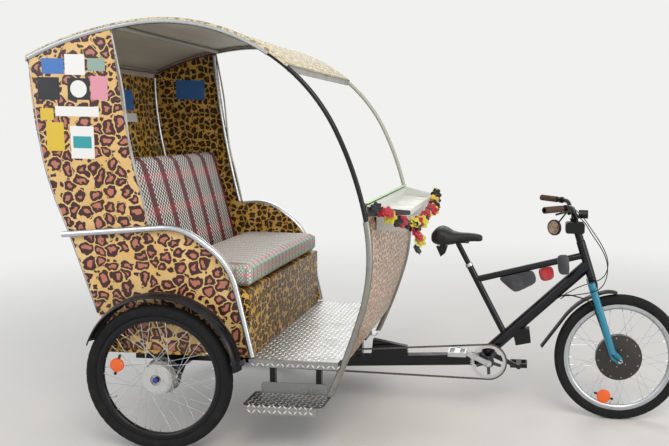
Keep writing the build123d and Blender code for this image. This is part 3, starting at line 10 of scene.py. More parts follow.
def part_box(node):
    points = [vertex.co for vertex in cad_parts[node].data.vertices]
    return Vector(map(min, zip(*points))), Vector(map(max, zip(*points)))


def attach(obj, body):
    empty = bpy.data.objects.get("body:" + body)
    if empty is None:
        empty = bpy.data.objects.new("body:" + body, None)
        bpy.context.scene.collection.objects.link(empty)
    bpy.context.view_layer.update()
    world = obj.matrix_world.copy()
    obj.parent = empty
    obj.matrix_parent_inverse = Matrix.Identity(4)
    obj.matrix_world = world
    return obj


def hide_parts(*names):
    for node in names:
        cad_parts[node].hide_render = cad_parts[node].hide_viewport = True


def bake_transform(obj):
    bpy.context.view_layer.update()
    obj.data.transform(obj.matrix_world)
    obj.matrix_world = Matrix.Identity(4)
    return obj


# Cycle rickshaw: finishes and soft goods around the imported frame. Metres, +X forward, +Z up.

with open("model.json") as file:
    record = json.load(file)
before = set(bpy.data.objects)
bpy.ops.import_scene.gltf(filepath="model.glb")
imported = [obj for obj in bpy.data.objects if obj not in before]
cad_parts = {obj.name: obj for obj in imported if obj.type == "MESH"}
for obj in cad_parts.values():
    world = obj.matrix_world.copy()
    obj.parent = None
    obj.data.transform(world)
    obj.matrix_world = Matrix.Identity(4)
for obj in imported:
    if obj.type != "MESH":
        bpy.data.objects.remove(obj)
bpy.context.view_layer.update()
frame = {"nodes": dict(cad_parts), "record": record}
NODES = frame["nodes"]
SEED = 7

# Side view of the hoop that carries roof and front: (x, z) from the rear of the roof to the step
HOOP_POINTS = [(-1.528, 1.769), (-1.000, 1.930), (-0.433, 1.804), (-0.140, 1.480), (-0.003, 1.077),
               (-0.024, 0.650), (-0.177, 0.250)]
HOOP_RISE = 26.7
ROOF_TUBE = 0.025
PANEL_Y = 0.530
PANEL_SHEET = 0.006


def placed(name, data):
    """An object with its data, in the scene."""
    obj = bpy.data.objects.new(name, data)
    bpy.context.scene.collection.objects.link(obj)
    return obj


# Camera

CAMERA_AT = (0.6991, -3.606, 1.5087)
CAMERA_YAW = -0.0636
CAMERA_PITCH = -0.1253
CAMERA_ROLL = 0.0217
CAMERA_LENS = 38.11
CAMERA_SHIFT = (-0.2175, -0.0114)


def make_camera():
    """A camera at the photograph's viewpoint, with the frame shifted as the photograph is cropped."""
    data = bpy.data.cameras.new("camera")
    data.lens = CAMERA_LENS
    data.shift_x, data.shift_y = CAMERA_SHIFT
    data.clip_start = 0.05
    camera = placed("camera", data)
    turn = Matrix.Rotation(-CAMERA_YAW, 4, "Z") @ Matrix.Rotation(math.pi / 2 + CAMERA_PITCH, 4, "X")
    camera.matrix_world = Matrix.Translation(CAMERA_AT) @ turn @ Matrix.Rotation(CAMERA_ROLL, 4, "Z")
    bpy.context.scene.camera = camera


# Materials


def tint(code):
    """A colour written as #rrggbb, in linear values."""
    values = [int(code[i:i + 2], 16) / 255 for i in (1, 3, 5)]
    return tuple(v / 12.92 if v <= 0.04045 else ((v + 0.055) / 1.055) ** 2.4 for v in values)


class Nodes:
    """A node tree built by short calls. Numbers, colour codes and sockets feed any input."""

    def __init__(self, tree):
        self.tree = tree

    def feed(self, socket, value):
        if isinstance(value, bpy.types.NodeSocket):
            self.tree.links.new(value, socket)
        elif isinstance(value, str):
            socket.default_value = (*tint(value), 1)
        elif value is not None:
            socket.default_value = value

    def make(self, kind, feeds, **props):
        node = self.tree.nodes.new("ShaderNode" + kind)
        for key, value in props.items():
            setattr(node, key, value)
        for key, value in feeds.items():
            self.feed(node.inputs[key], value)
        return node

    def math(self, operation, a, b=None, c=None):
        return self.make("Math", {0: a, 1: b, 2: c}, operation=operation).outputs[0]

    def plus(self, a, b):
        return self.math("ADD", a, b)

    def minus(self, a, b):
        return self.math("SUBTRACT", a, b)

    def times(self, a, b):
        return self.math("MULTIPLY", a, b)

    def above(self, value, limit):
        return self.math("GREATER_THAN", value, limit)

    def distance(self, a, b):
        return self.math("SQRT", self.plus(self.times(a, a), self.times(b, b)))

    def vector(self, operation, a, b, c=None):
        return self.make("VectorMath", {0: a, 1: b, 2: c}, operation=operation).outputs[0]

    def pick(self, share, a, b):
        """A number between a, at share 0, and b, at share 1."""
        return self.make("Mix", {0: share, 2: a, 3: b}).outputs[0]

    def mix(self, share, a, b):
        """A colour between a, at share 0, and b, at share 1."""
        return self.make("Mix", {0: share, 6: a, 7: b}, data_type="RGBA").outputs[2]

    def step(self, value, low, high):
        """0 below low, 1 above high, smooth between."""
        node = self.make("MapRange", {0: value, 1: low, 2: high}, interpolation_type="SMOOTHSTEP")
        return node.outputs[0]

    def between(self, value, low, high):
        """A value from 0 to 1, spread from low to high."""
        return self.make("MapRange", {0: value, 3: low, 4: high}).outputs[0]

    def seen(self):
        """1 for rays from the camera and those that metal or glass sends on, 0 for the rest."""
        rays = self.make("LightPath", {}).outputs
        direct = self.math("MAXIMUM", rays["Is Camera Ray"], rays["Is Glossy Ray"])
        return self.math("MAXIMUM", direct, rays["Is Transmission Ray"])


class Paint(Nodes):
    """One material, built from nodes in the object's own metres."""

    def __init__(self, name, colour, rough=0.5, metal=0.0, **sockets):
        self.material = bpy.data.materials.new(name)
        self.material.use_nodes = True
        super().__init__(self.material.node_tree)
        self.shader = self.tree.nodes["Principled BSDF"]
        self.set(Base_Color=colour, Roughness=rough, Metallic=metal, **sockets)
        self.normal = None
        self.place = self.make("TexCoord", {}).outputs["Object"]

    def set(self, **sockets):
        for key, value in sockets.items():
            self.feed(self.shader.inputs[key.replace("_", " ")], value)

    def noise(self, size, detail=3.0, rough=0.55, place=None, stretch=None):
        """Smooth noise whose lumps are about size metres wide."""
        place = place or self.place
        if stretch:
            place = self.vector("MULTIPLY", place, stretch)
        feeds = {"Vector": place, "Scale": 1 / size, "Detail": detail, "Roughness": rough}
        return self.make("TexNoise", feeds).outputs["Fac"]

    def parts(self, vector=None):
        node = self.make("SeparateXYZ", {0: vector or self.place})
        return node.outputs[0], node.outputs[1], node.outputs[2]

    def facing(self, axis, low, high):
        """A step from 0 to 1 as the surface turns towards an axis."""
        return self.step(self.parts(self.make("NewGeometry", {}).outputs["Normal"])[axis], low, high)

    def bump(self, height, depth, strength=1.0):
        feeds = {"Height": height, "Distance": depth, "Strength": strength, "Normal": self.normal}
        self.normal = self.make("Bump", feeds).outputs[0]
        self.set(Normal=self.normal)

    def film(self, low, high, lump, strength):
        """The uneven gloss and the slight waves of film on a panel."""
        self.set(Roughness=self.between(self.noise(0.05, 4), low, high))
        self.bump(self.noise(lump, 2), 0.0008, strength)


def worn_metal(name, colour, stain, rough, line=0.008, metal=1.0):
    """Metal with fine drawn lines, dull patches and small stains."""
    paint = Paint(name, colour, rough, metal)
    patches = paint.noise(0.09, 4)
    lines = paint.noise(line, 2)
    dirt = paint.times(paint.step(patches, 0.45, 0.75), paint.step(paint.noise(0.006, 4, 0.7), 0.4, 0.7))
    gloss = paint.plus(paint.between(patches, rough - 0.08, rough + 0.12), paint.between(lines, -0.06, 0.06))
    paint.set(Base_Color=paint.mix(dirt, colour, stain), Roughness=gloss)
    paint.bump(lines, 0.00012, 0.5)
    return paint


def coated(name, colour, rough, dust="#5b574f", dusty=0.12, grain=0.003, depth=0.0001, **sockets):
    """Paint or moulded plastic with a fine surface, dust on what faces up and slight unevenness."""
    paint = Paint(name, colour, rough, **sockets)
    cloud = paint.noise(0.12, 5, 0.6)
    lie = paint.times(paint.facing(2, 0.2, 1.0), paint.step(cloud, 0.35, 0.7))
    gloss = paint.plus(paint.between(cloud, rough - 0.05, rough + 0.07), paint.times(lie, 0.3))
    paint.set(Base_Color=paint.mix(paint.times(lie, dusty), colour, dust), Roughness=gloss)
    paint.bump(paint.noise(grain, 2), depth, 0.6)
    return paint


def spots(paint, across, up, cell, ground, dark, core, size=0.48, ring=0.225, gap=0.05):
    """Leopard spots on film: dark ragged rings round paler cores, about a cell apart, and small blots."""
    flat = paint.make("CombineXYZ", {0: across, 1: up}).outputs[0]
    bent = flat
    for lump, sway in ((1.3, 0.9), (0.4, 0.45)):
        shake = paint.make("TexNoise", {"Vector": flat, "Scale": 1 / (cell * lump), "Detail": 1.0})
        away = paint.vector("SUBTRACT", shake.outputs["Color"], (0.5,) * 3)
        bent = paint.vector("MULTIPLY_ADD", away, (cell * sway,) * 3, bent)

    def cells(feature, scale):
        return paint.make("TexVoronoi", {"Vector": bent, "Scale": scale, "Randomness": 0.72},
                          voronoi_dimensions="2D", feature=feature).outputs

    edge = cells("DISTANCE_TO_EDGE", 1 / cell)["Distance"]
    near = cells("F1", 1 / cell)
    reach = paint.math("MULTIPLY_ADD", paint.parts(near["Color"])[0], 0.14, size - 0.07)
    within = paint.minus(reach, near["Distance"])
    depth = paint.math("SMOOTH_MIN", paint.minus(edge, gap), within, 0.06)
    wall = paint.math("MULTIPLY_ADD", paint.noise(cell * 0.42, 2, place=flat), 0.26, ring - 0.13)
    in_core = paint.step(paint.minus(depth, wall), -0.016, 0.022)
    blots = cells("F1", 2.0 / cell)
    kept = paint.times(paint.above(paint.parts(blots["Color"])[1], 0.45), paint.step(depth, -0.05, -0.08))
    small = paint.times(paint.step(blots["Distance"], 0.35, 0.29), kept)
    in_dark = paint.math("MAXIMUM", paint.step(depth, -0.016, 0.016), small)
    tone = paint.step(paint.noise(cell * 2.5, 3, place=flat), 0.35, 0.75)
    ground = paint.mix(tone, ground, paint.mix(0.4, ground, "#f3d9a6"))
    return paint.mix(in_core, paint.mix(in_dark, ground, dark), core)


def lining(paint, across, up):
    """The small print inside the cabin."""
    return spots(paint, across, up, 0.038, "#d5a540", "#2e1d10", "#6b4c1e", gap=0.10, ring=0.30)


def large_print(paint, along, outside):
    """Film with large spots where outside is 1 and the lining elsewhere, grimy towards its lower edge."""
    xyz = paint.parts()
    across, up = xyz[along], xyz[2]
    large = spots(paint, across, up, 0.063, "#d9b06c", "#3a1715", "#b8735e")
    both = paint.mix(outside, lining(paint, across, up), large)
    grime = paint.plus(paint.step(paint.noise(0.25, 5, 0.65), 0.5, 0.85), paint.step(up, 0.75, 0.35))
    paint.set(Base_Color=paint.mix(paint.times(grime, 0.16), both, "#6b5b47"))
    paint.film(0.26, 0.44, 0.07, 0.35)
    return paint


def side_film():
    """The side panels, whose outside is the face away from the middle."""
    paint = Paint("side_film", "#d9b06c", 0.34)
    off = paint.math("ABSOLUTE", paint.parts()[1])
    return large_print(paint, 0, paint.step(off, PANEL_Y - 0.001, PANEL_Y + 0.001))


def rear_film():
    """The rear panel, with the lining towards the bench."""
    paint = Paint("rear_film", "#d9b06c", 0.34)
    return large_print(paint, 1, paint.facing(0, 0.2, -0.2))


def box_film():
    """The seat box: middling spots on yellow."""
    paint = Paint("box_film", "#c49a35", 0.4)
    x, y, z = paint.parts()
    paint.set(Base_Color=spots(paint, paint.plus(x, y), z, 0.040, "#cfa03a", "#2a1a0e", "#7a5a20"))
    paint.film(0.3, 0.5, 0.05, 0.3)
    return paint


def dash_film():
    """The front panel: fine spots on pink outside, and the lining inside."""
    paint = Paint("dash_film", "#c9a184", 0.38)
    _, y, z = paint.parts()
    fine = spots(paint, y, z, 0.030, "#d9bba2", "#7a5541", "#a98468", gap=0.14, ring=0.27)
    both = paint.mix(paint.facing(0, -0.2, 0.2), lining(paint, y, z), fine)
    scuff = paint.step(paint.noise(0.18, 5, 0.7), 0.55, 0.8)
    paint.set(Base_Color=paint.mix(paint.times(scuff, 0.22), both, "#d8cdbf"))
    paint.film(0.28, 0.48, 0.06, 0.3)
    return paint


def roof_cloth():
    """Straw dapples above, grey canvas below, with painted shade in the hollows of its folds and painted
    light on their crests.
    """
    paint = Paint("roof_cloth", "#b5ab8f", 0.62)
    x, y, _ = paint.parts()
    dapple = spots(paint, x, y, 0.030, "#cfc3a0", "#8b8166", "#aaa082", gap=0.16, ring=0.3)
    folds = paint.noise(0.22, 4, stretch=(1.0, 0.15, 1.0))
    # Painted shade and light: the canvas is darker in the hollows of the folds and lighter on their crests,
    # from the same noise as the fold bump.
    canvas = paint.mix(paint.step(folds, 0.3, 0.75), "#b3b0a6", "#d4d1c6")
    paint.set(Base_Color=paint.mix(paint.facing(2, -0.1, 0.1), canvas, dapple))
    paint.bump(paint.noise(0.0016, 1), 0.0003, 0.5)
    paint.bump(folds, 0.002, 0.4)
    return paint


def fascia_paint():
    """Pale moulding with upright slats."""
    paint = worn_metal("fascia_grey", "#a9a9a4", "#66635b", 0.5, metal=0.2)
    paint.bump(paint.math("PINGPONG", paint.parts()[1], 0.006), 0.01, 0.8)
    return paint


def wheel_metal(name, centre, reach, shell, spoke, shell_metal):
    """Hub and spokes as one piece: the shell's finish within reach of the centre, bright spokes beyond."""
    paint = Paint(name, shell, 0.4, shell_metal)
    x, _, z = paint.parts()
    radius = paint.distance(paint.minus(x, centre[0]), paint.minus(z, centre[1]))
    beyond = paint.step(radius, reach - 0.0005, reach + 0.0005)
    dirt = paint.step(paint.noise(0.02, 5, 0.7), 0.5, 0.75)
    body = paint.mix(paint.times(dirt, 0.35), shell, "#5a5348")
    paint.set(Base_Color=paint.mix(beyond, body, spoke), Metallic=paint.between(beyond, shell_metal, 0.5),
              Roughness=paint.between(dirt, 0.32, 0.5))
    return paint


def two_sided(name, right, left):
    """Enamel or bare metal in one finish on the right of the middle plane and another on the left."""
    paint = Paint(name, right, 0.3, Specular_IOR_Level=0.35)
    wear = paint.step(paint.noise(0.05, 5, 0.7), 0.55, 0.8)
    both = paint.mix(paint.above(paint.parts()[1], 0.0), right, left)
    paint.set(Base_Color=paint.mix(paint.times(wear, 0.18), both, "#6f6b62"),
              Roughness=paint.between(wear, 0.26, 0.45))
    return paint


def crank_metal():
    """Bright alloy on the chain's side, black on the other."""
    paint = worn_metal("crank_alloy", "#c7c9cb", "#74706a", 0.3)
    other = paint.above(paint.parts()[1], 0.0)
    worn = paint.step(paint.noise(0.03, 5, 0.7), 0.4, 0.8)
    bright = paint.mix(worn, "#cfd1d3", "#a5a29b")
    paint.set(Base_Color=paint.mix(other, bright, "#101012"), Metallic=paint.between(other, 1.0, 0.0))
    return paint


def weave(name, pitch, warp, weft, band, band_width):
    """Woven plastic strips: two directions go over and under, with coloured bands; painted shade darkens
    each strip towards its edges and fills the holes between strips.
    """
    paint = Paint(name, warp, 0.5)
    x, y, z = paint.parts()
    normal = paint.parts(paint.make("TexCoord", {}).outputs["Normal"])
    wide, deep, high = [paint.math("ABSOLUTE", part) for part in normal]
    upward = paint.above(high, 0.72)
    u = paint.pick(upward, paint.pick(paint.above(deep, wide), y, x), y)
    v = paint.pick(upward, z, x)
    u, v = [paint.math("DIVIDE", value, pitch) for value in (u, v)]
    parity = paint.math("FLOORED_MODULO", paint.plus(paint.math("FLOOR", u), paint.math("FLOOR", v)), 2.0)
    rounds = []
    strips = []
    for value, thread in ((u, warp), (v, weft)):
        off = paint.minus(paint.math("FRACT", value), 0.5)
        rounds.append(paint.minus(1.0, paint.times(paint.math("POWER", off, 2.0), 4.0)))
        place = paint.math("FRACT", paint.math("DIVIDE", value, band_width))
        strips.append(paint.mix(paint.above(place, 0.72), thread, band))
    height = paint.pick(parity, *rounds)
    # Painted shade: each strip darkens to near black towards its edges, where it dips under its neighbour,
    # and the holes where no strip lies are painted near black.
    hole_shade = paint.times(*[paint.step(value, 0.3, 0.05) for value in rounds])
    shade = paint.mix(paint.step(height, 0.0, 0.5), "#101010", paint.mix(parity, *strips))
    paint.set(Base_Color=paint.mix(hole_shade, shade, "#0c0c0c"),
              Roughness=paint.between(paint.noise(0.03, 3), 0.38, 0.62))
    paint.bump(height, 0.0016, 0.9)
    return paint


def rubber():
    """Tyre rubber, dusty in patches."""
    paint = Paint("rubber", "#121214", 0.8, Specular_IOR_Level=0.3)
    cloud = paint.noise(0.05, 5, 0.7)
    paint.set(Base_Color=paint.mix(paint.step(cloud, 0.45, 0.8), "#101012", "#262422"),
              Roughness=paint.between(cloud, 0.7, 0.95))
    paint.bump(paint.noise(0.0018, 2), 0.0003, 0.6)
    return paint


def leather_black():
    """The saddle's cover: fine grain, shinier where it is rubbed."""
    paint = Paint("saddle_cover", "#1b1b1d", 0.42, Specular_IOR_Level=0.4)
    cells = paint.make("TexVoronoi", {"Vector": paint.place, "Scale": 620.0}, feature="DISTANCE_TO_EDGE")
    rub = paint.noise(0.06, 4)
    paint.set(Base_Color=paint.mix(paint.step(rub, 0.5, 0.8), "#111113", "#1f1e20"),
              Roughness=paint.between(rub, 0.34, 0.55))
    paint.bump(paint.step(cells.outputs[0], 0.0, 0.12), 0.0002, 0.6)
    return paint


def cloth(name, colour, thread=0.0009, rough=0.85):
    """Coarse nylon: crossed threads, faded in patches."""
    paint = Paint(name, colour, rough, Sheen_Weight=0.25)
    x, y, z = [paint.math("SINE", paint.times(value, math.pi / thread)) for value in paint.parts()]
    fade = paint.step(paint.noise(0.07, 4), 0.4, 0.8)
    paint.set(Base_Color=paint.mix(paint.times(fade, 0.35), colour, "#77757a"))
    paint.bump(paint.times(paint.plus(x, y), z), 0.0002, 0.5)
    return paint


PAINTS = {
    "tyre": rubber(),
    "rear_rim": coated("rim_black", "#0d0d0f", 0.28, Specular_IOR_Level=0.3),
    "front_rim": worn_metal("rim_silver", "#b9bcc0", "#6f6a62", 0.34),
    "hub": wheel_metal("hub_cast", (-0.940, 0.340), 0.0705, "#c9cac8", "#c0c3c6", 0.55),
    "disc": worn_metal("disc_steel", "#8d8d8f", "#4b4036", 0.36),
    "motor": wheel_metal("motor_shell", (1.207, 0.333), 0.1205, "#2b2925", "#c0c3c6", 0.1),
    "roof_tube": worn_metal("tube_silver", "#c9ccd0", "#8d8a84", 0.26),
    "black_tube": two_sided("hoop_enamel", "#0e0f11", "#b4b4a8"),
    "grey_tube": worn_metal("tube_grey", "#97968f", "#5d5a52", 0.42),
    "side_print": side_film(),
    "rear_print": rear_film(),
    "box_print": box_film(),
    "canopy": roof_cloth(),
    "dash_print": dash_film(),
    "tray": coated("tray_white", "#e4e6e2", 0.35, dust="#b9b49f", dusty=0.5),
    "checker_plate": worn_metal("tread_plate", "#a0a1a0", "#5f5a50", 0.4, line=0.012),
    "tread_crest": worn_metal("tread_crest", "#ecebe7", "#a5a197", 0.3, line=0.012, metal=0.6),
    "black_frame": coated("frame_paint", "#0a0c13", 0.2, Specular_IOR_Level=0.35),
    "black_plastic": coated("plastic_black", "#0c0d0e", 0.3, Specular_IOR_Level=0.3),
    "seat_cloth": weave("seat_weave", 0.0085, "#e9e4dc", "#7fb7a0", "#d98a9b", 6),
    "back_cloth": weave("back_weave", 0.012, "#efece8", "#141416", "#8e1d2b", 13),
    "saddle_skin": leather_black(),
    "steel": worn_metal("steel_bright", "#c7c9cb", "#74706a", 0.3),
    "fork_paint": coated("fork_teal", "#077592", 0.3, Coat_Weight=0.5, Coat_Roughness=0.1),
    "bar_black": coated("bar_black", "#0f0f11", 0.28, Specular_IOR_Level=0.3),
    "grip_rubber": coated("grip_brown", "#4a3226", 0.72, grain=0.0024, depth=0.0003),
    "bag_cloth": cloth("bag_nylon", "#35363b"),
    "red_cloth": cloth("red_nylon", "#b3202c"),
    "piping": cloth("piping_red", "#6d1a25", rough=0.6),
    "orange": Paint("reflector_orange", "#e65f08", 0.22, Coat_Weight=0.6),
    "trim": worn_metal("trim_strip", "#a9a7a1", "#5a564d", 0.4),
    "mirror": worn_metal("mirror_glass", "#d3d6d9", "#8b8a86", 0.09, line=0.08),
    "lens": Paint("lamp_lens", "#d9dde0", 0.08, Coat_Weight=1.0),
    "cap_blue": coated("cap_blue", "#1d3f9c", 0.35),
    "pale_green": coated("edge_green", "#b7e0b0", 0.4),
    "fascia": fascia_paint(),
    "crank_metal": crank_metal(),
    "chainring": wheel_metal("chainring_alloy", (0.534, 0.297), 0.067, "#46474b", "#c3c5c7", 0.7),
    "sleeve_grey": coated("sleeve_grey", "#a19e94", 0.6),
    "chain_steel": worn_metal("chain_steel", "#6d6a64", "#3a2f24", 0.42),
}
for finish, code in (("card_white", "#e9e9e6"), ("card_blue", "#3f74b8"), ("card_green", "#8ea79a"),
                     ("card_black", "#17171a"), ("card_pink", "#d995a4"), ("card_yellow", "#d8b93a"),
                     ("card_teal", "#2f9aa0")):
    PAINTS[finish] = coated(finish, code, 0.4)
for finish, code in (("flower_black", "#1b1a1d"), ("flower_red", "#c11f35"), ("flower_yellow", "#d8cf3f"),
                     ("flower_green", "#5f8f35")):
    PAINTS[finish] = cloth(finish, code, 0.0006)

# Nodes whose finish isn't that of their slot
OWN_FINISH = {"seat_box": "box_print", "roof_fascia": "fascia", "roof_cross_tubes": "sleeve_grey",
              "crank": "crank_metal", "chainring": "chainring", "pedal_left": "bar_black",
              "rear_mudguards": "black_frame"}


def paint_frame():
    """Gives every CAD node its material."""
    for part in frame["record"]["subparts"]:
        node, slot = part["node"], part["material_slot"]
        obj = NODES[node]
        obj.data.materials.clear()
        obj.data.materials.append(PAINTS[OWN_FINISH.get(node, slot)].material)


# Shapes


def add_mesh(name, parts, paint, body="chassis", smooth=True, sharp=None):
    """A mesh object of (points, faces) parts in one material, which rides on a body. Edges that turn by more
    than sharp degrees stay sharp."""
    verts, faces = [], []
    for part_verts, part_faces in parts:
        base = len(verts)
        verts += [tuple(v) for v in part_verts]
        faces += [[base + i for i in face] for face in part_faces]
    mesh = bpy.data.meshes.new(name)
    mesh.from_pydata(verts, [], faces)
    mesh.validate()
    obj = placed(name, mesh)
    mesh.polygons.foreach_set("use_smooth", [smooth] * len(mesh.polygons))
    mesh.materials.append(PAINTS[paint].material)
    bm = bmesh.new()
    bm.from_mesh(mesh)
    bmesh.ops.recalc_face_normals(bm, faces=bm.faces)
    bm.to_mesh(mesh)
    bm.free()
    if body:
        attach(obj, body)
    if sharp:
        mesh.set_sharp_from_angle(angle=math.radians(sharp))
    return obj


def circle(count, radius=1.0):
    """Points (across, up) spread evenly round a circle."""
    turns = [2 * math.pi * i / count for i in range(count)]
    return [(radius * math.cos(turn), radius * math.sin(turn)) for turn in turns]


def polar(radius, angle, y=0.0):
    """A point at a radius and an angle round the Y axis."""
    return Vector((radius * math.cos(angle), y, radius * math.sin(angle)))


def lattice(rows, columns, close_rows=False, close_columns=False):
    """Quads between the points of a grid that is stored row by row."""
    faces = []
    for i in range(rows if close_rows else rows - 1):
        for j in range(columns if close_columns else columns - 1):
            a, b = i % rows, (i + 1) % rows
            c, d = j % columns, (j + 1) % columns
            faces.append((a * columns + c, a * columns + d, b * columns + d, b * columns + c))
    return faces


def capped(rows, columns):
    """The wall between rows of points that go round a tube, and its two ends."""
    last = (rows - 1) * columns
    ends = [tuple(range(columns))[::-1], tuple(range(last, last + columns))]
    return lattice(rows, columns, close_columns=True) + ends


def block(corners):
    """A closed block from the four corners of one face and the four across from them."""
    return list(corners), capped(2, 4)


def brick(low, high):
    """A box between two corners."""
    (a, b, c), (d, e, f) = low, high
    return block((x, y, z) for z in (c, f) for x, y in ((a, b), (d, b), (d, e), (a, e)))


def rod(start, end, radius, sides=8, tip=None):
    """A straight rod with closed ends, or a cone if tip gives its other radius."""
    start, end = Vector(start), Vector(end)
    turn = (end - start).to_track_quat("Z", "Y")
    rings = ((start, radius), (end, radius if tip is None else tip))
    verts = [at + turn @ Vector((*spot, 0)) for at, size in rings for spot in circle(sides, size)]
    return verts, capped(2, sides)


def pipe(points, radius, sides=10):
    """A round pipe along points, with closed ends."""
    points = [Vector(p) for p in points]
    verts = []
    side = None
    for i, at in enumerate(points):
        ahead = (points[min(i + 1, len(points) - 1)] - points[max(i - 1, 0)]).normalized()
        if side is None:
            side = ahead.orthogonal().normalized()
        side = (side - ahead * side.dot(ahead)).normalized()
        other = ahead.cross(side)
        verts += [at + side * a + other * b for a, b in circle(sides, radius)]
    return verts, capped(len(points), sides)


def lathe(profile, origin, direction, sections=28):
    """A (radius, along) outline turned about a line from origin along direction, closed on the line."""
    turn = Vector(direction).to_track_quat("Z", "Y")
    verts = [Vector(origin) + turn @ Vector((radius * a, radius * b, along))
             for a, b in circle(sections) for radius, along in profile]
    return verts, lattice(sections, len(profile), close_rows=True)


def smooth_line(points, per_span=8):
    """Points of a smooth curve through the given ones."""
    points = [Vector(p) for p in points]
    ends = [points[0] * 2 - points[1], *points, points[-1] * 2 - points[-2]]
    line = []
    for a, b, c, d in zip(ends, ends[1:], ends[2:], ends[3:]):
        for k in range(per_span):
            t = k / per_span
            line.append(0.5 * (2 * b + (c - a) * t + (2 * a - 5 * b + 4 * c - d) * t * t
                               + (3 * b - a - 3 * c + d) * t ** 3))
    return [*line, points[-1]]


def route_line(points):
    """Points along the smooth spline that a route's points control."""
    curve = bpy.data.curves.new("route", "CURVE")
    curve.dimensions = "3D"
    spline = curve.splines.new("NURBS")
    spline.points.add(len(points) - 1)
    for control, at in zip(spline.points, points):
        control.co = (*at, 1)
    spline.order_u = 3
    spline.use_endpoint_u = True
    spline.resolution_u = 10
    holder = bpy.data.objects.new("route", curve)
    mesh = bpy.data.meshes.new_from_object(holder)
    line = [vertex.co.copy() for vertex in mesh.vertices]
    bpy.data.objects.remove(holder)
    bpy.data.meshes.remove(mesh)
    bpy.data.curves.remove(curve)
    return line


def hoop_line(step=0.02):
    """Points (x, z) and outward normals along the hoop's chain of tangent arcs."""
    heading = Vector((math.cos(math.radians(HOOP_RISE)), math.sin(math.radians(HOOP_RISE))))
    line = []
    for start, end in zip(HOOP_POINTS, HOOP_POINTS[1:]):
        chord = Vector(end) - Vector(start)
        normal = Vector((-heading.y, heading.x))
        radius = chord.length_squared / (2 * normal.dot(chord))
        centre = Vector(start) + normal * radius
        first, last = [math.atan2(z - centre.y, x - centre.x) for x, z in (start, end)]
        count = max(2, round(abs(last - first) * abs(radius) / step))
        for i in range(count + (end == HOOP_POINTS[-1])):
            angle = first + (last - first) * i / count
            out = Vector((math.cos(angle), math.sin(angle)))
            line.append((centre + out * abs(radius), out))
        turn = 1 if last > first else -1
        heading = Vector((-turn * math.sin(last), turn * math.cos(last)))
    return line


HOOP_LINE = hoop_line()


# Wheels

REAR_AXLE = Vector((-0.940, 0, 0.340))
FRONT_AXLE = Vector((1.207, 0, 0.333))
REAR_HALF = Vector((0, 0.595, 0))

# Spokes: radius at the hub, the two flanges' y, radius at the rim, lead in degrees
REAR_SPOKES = (0.064, (-0.025, 0.014), 0.2614, 62)
FRONT_SPOKES = (0.116, (-0.012, 0.012), 0.2544, 18)
# Reflectors: x, y and z from the wheel's centre, and radius
REAR_REFLECTOR = (-0.192, -0.010, 0.055, 0.032)
FRONT_REFLECTOR = (-0.069, -0.006, -0.212, 0.036)
# Columns: wheel, body, tyre width, centre, spokes, reflector
WHEELS = [("right", "rear_wheel_right", 0.056, REAR_AXLE - REAR_HALF, REAR_SPOKES, REAR_REFLECTOR),
          ("left", "rear_wheel_left", 0.056, REAR_AXLE + REAR_HALF, REAR_SPOKES, REAR_REFLECTOR),
          ("front", "front_wheel", 0.050, FRONT_AXLE, FRONT_SPOKES, FRONT_REFLECTOR)]
TYRE_HEIGHT = 0.056
TYRE_SECTIONS = 240
TREAD_NOTCH = 0.0013
# Side wall: height over the rim's seat, and share of the half width
TYRE_WALL = [(0.010, 0.72), (0.013, 0.80), (0.016, 0.83), (0.022, 0.93), (0.028, 0.985), (0.034, 1.0),
             (0.0385, 0.975)]
# Crown: share of the half width, and depth of the groove there
TYRE_CROWN = [(0.90, 0), (0.84, 0), (0.80, 0.0016), (0.74, 0.0016), (0.70, 0), (0.46, 0), (0.42, 0.0018),
              (0.34, 0.0018), (0.30, 0), (0.10, 0), (0.07, 0.0014), (0.0, 0.0014)]


def tyre_profile(radius, width):
    """The tyre's outline as (radius, along), with rings in the side walls and grooves in the crown."""
    seat, half = radius - TYRE_HEIGHT, width / 2
    line = [(seat + 0.0003, 0.0125), (seat + 0.007, 0.0127)]
    line += [(seat + rise, half * share) for rise, share in TYRE_WALL]
    for share, depth in TYRE_CROWN:
        drop = (TYRE_HEIGHT - TYRE_WALL[-1][0]) * (1 - math.sqrt(max(0.0, 1 - share ** 2.2)))
        line.append((radius - drop - depth, half * share))
    return line + [(r, -y) for r, y in line[::-1][1:]]


def make_tyres():
    """Tyres with grooves round the crown and notches across its shoulders."""
    for name, body, width, *_ in WHEELS:
        node = body.replace("wheel", "tyre")
        low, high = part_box(node)
        centre = (low + high) / 2
        radius = (high.z - low.z) / 2
        profile = tyre_profile(radius, width)
        verts = []
        for i in range(TYRE_SECTIONS):
            for r, y in profile:
                on_shoulder = r > radius - 0.012 and 0.44 < abs(y) / (width / 2) < 0.92
                notched = on_shoulder and (i + (2 if y > 0 else 0)) % 5 == 0
                angle = 2 * math.pi * i / TYRE_SECTIONS
                verts.append(centre + polar(r - TREAD_NOTCH * notched, angle, y))
        faces = lattice(TYRE_SECTIONS, len(profile), True, True)
        tyre = add_mesh(f"tread_{name}", [(verts, faces)], "tyre", body, sharp=40)
        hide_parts(node)


SPOKES_A_SIDE = 18
SPOKE_SKEW = 0.0012
# A nipple's length, and its radius at the spoke and at the rim
NIPPLE = (0.013, 0.0023, 0.0028)
VALVE_ANGLE = math.radians(205)
# Valve stem and cap: outer and inner end from the spokes' outer ends, and radius
VALVE = [(0.001, -0.030, 0.0028), (-0.016, -0.032, 0.0042)]
# A reflector's outline: share of its radius, and height over its back
REFLECTOR = [(0, 0.011), (0.55, 0.0105), (0.82, 0.009), (0.86, 0.007), (1, 0.007), (1, 0), (0, 0)]
CLIP_REACH = 0.016
CLIP_RADIUS = 0.006
